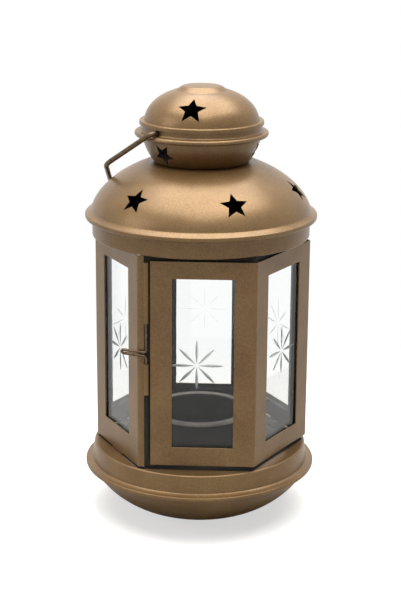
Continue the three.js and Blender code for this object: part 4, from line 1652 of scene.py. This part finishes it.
@dataclass
class Studio:
    """Pale floor, soft lamps and the camera at the photograph's angle; lengths in metres."""

    target: Solid = (0.0, 0.0, 0.105)
    distance: float = 0.765
    elevation: float = 16.0
    turn: float = 2.5
    roll: float = 0.4
    lens: float = 93.74
    ambient: float = 0.09
    white: str = "#FFFFFF"
    floor_radius: float = 1.2
    floor_drop: float = 0.0002
    paper: str = "#C8C6C2"
    paper_lift: float = 0.6
    fade: Flat = (0.09, 0.30)  # where the paper starts and ends its fade into the background
    lamps: Sequence[Softbox] = (Softbox("top_softbox", (0.03, 0.04, 1.12), 1.4, 33.0),
                                Softbox("left_softbox", (-1.0, -0.4, 0.6), 0.6, 2.4))

    def build(self) -> None:
        """Makes floor, lamps, world and camera."""
        self.build_floor()
        self.build_world()
        for lamp in self.lamps:
            self.add_lamp(lamp)
        self.build_camera()
        bpy.context.scene.view_settings.view_transform = "Standard"

    def build_floor(self) -> None:
        """Makes the floor, white to the eye and fading into the white background."""
        mesh = bmesh.new()
        bmesh.ops.create_circle(mesh, cap_ends=True, segments=96, radius=self.floor_radius)
        floor = place_mesh("floor", mesh, 1.0)
        floor.location.z = -self.floor_drop
        material, tree = new_material("white_paper_floor")
        place = add_node(tree, "TexCoord").outputs["Object"]
        far = add_node(tree, "VectorMath", {"operation": "LENGTH"}, {0: place}).outputs["Value"]
        edge = {"From Min": self.fade[0], "From Max": self.fade[1], "interpolation_type": "SMOOTHSTEP"}
        fade = add_node(tree, "MapRange", edge, {"Value": far}).outputs["Result"]
        seen = add_node(tree, "LightPath").outputs["Is Camera Ray"]
        lift = add_node(tree, "Math", {"operation": "MULTIPLY", 1: self.paper_lift}, {0: seen}).outputs[0]
        paper = add_node(tree, "BsdfDiffuse", {"Color": linear(self.paper)})
        glow = add_node(tree, "Emission", {"Color": linear(self.white)}, {"Strength": lift})
        lit = add_node(tree, "AddShader", links={0: paper.outputs[0], 1: glow.outputs[0]})
        gone = add_node(tree, "BsdfTransparent")
        mixed = add_node(tree, "MixShader", links={0: fade, 1: lit.outputs[0], 2: gone.outputs[0]})
        add_node(tree, "OutputMaterial", links={"Surface": mixed.outputs[0]})
        floor.data.materials.append(material)

    def build_world(self) -> None:
        """Makes the world: white to the eye and in reflections, plain grey as light."""
        world = bpy.data.worlds.new("studio")
        world.use_nodes = True
        tree = world.node_tree
        tree.nodes.clear()
        path = add_node(tree, "LightPath").outputs
        seen = path["Is Camera Ray"]
        for ray in ("Is Glossy Ray", "Is Transmission Ray"):
            seen = add_node(tree, "Math", {"operation": "MAXIMUM"}, {0: seen, 1: path[ray]}).outputs[0]
        light, white = (add_node(tree, "Background", {"Color": linear(self.white), "Strength": strength})
                        for strength in (self.ambient, 1.0))
        mixed = add_node(tree, "MixShader", links={0: seen, 1: light.outputs[0], 2: white.outputs[0]})
        add_node(tree, "OutputWorld", links={"Surface": mixed.outputs[0]})
        bpy.context.scene.world = world

    def add_lamp(self, softbox: Softbox) -> None:
        """Adds one lamp.

        Args:
            softbox: Its place, size and power.
        """
        data = bpy.data.lights.new(softbox.name, "AREA")
        data.size = softbox.size
        data.energy = softbox.power
        lamp = bpy.data.objects.new(softbox.name, data)
        lamp.location = softbox.place
        lamp.rotation_mode = "QUATERNION"
        lamp.rotation_quaternion = (Vector(self.target) - Vector(softbox.place)).to_track_quat("-Z", "Y")
        bpy.context.scene.collection.objects.link(lamp)

    def build_camera(self) -> None:
        """Makes the camera at the photograph's viewing angle."""
        a, e = math.radians(self.turn), math.radians(self.elevation)
        back = Vector((math.sin(a) * math.cos(e), -math.cos(a) * math.cos(e), math.sin(e)))
        data = bpy.data.cameras.new("camera")
        data.lens = self.lens
        data.sensor_width = 36.0
        camera = bpy.data.objects.new("camera", data)
        camera.location = Vector(self.target) + back * self.distance
        aim = (-back).to_track_quat("-Z", "Y").to_matrix().to_4x4()
        camera.rotation_euler = (aim @ Matrix.Rotation(math.radians(self.roll), 4, "Z")).to_euler()
        bpy.context.scene.collection.objects.link(camera)
        bpy.context.scene.camera = camera


def main() -> None:
    """Builds the lantern's pieces in order."""
    logging.basicConfig(level=logging.INFO, format="%(name)s: %(message)s")
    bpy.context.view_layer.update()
    Studio().build()
    stock, finishes, plan = Stock(), Finishes(), Hexagon()
    hinge = Hinge(stock, plan)
    body, door = Body(stock, finishes, hinge), Door(stock, finishes, hinge)
    for part in (Base(stock, finishes, plan), CandleCup(stock, finishes), body, door,
                 Glazing(stock, finishes, body, door), Wires(stock, finishes, hinge),
                 Roof(stock, finishes), TopChamber(stock, finishes), Rivets(stock, finishes)):
        part.build()


if __name__ == "__main__":
    main()
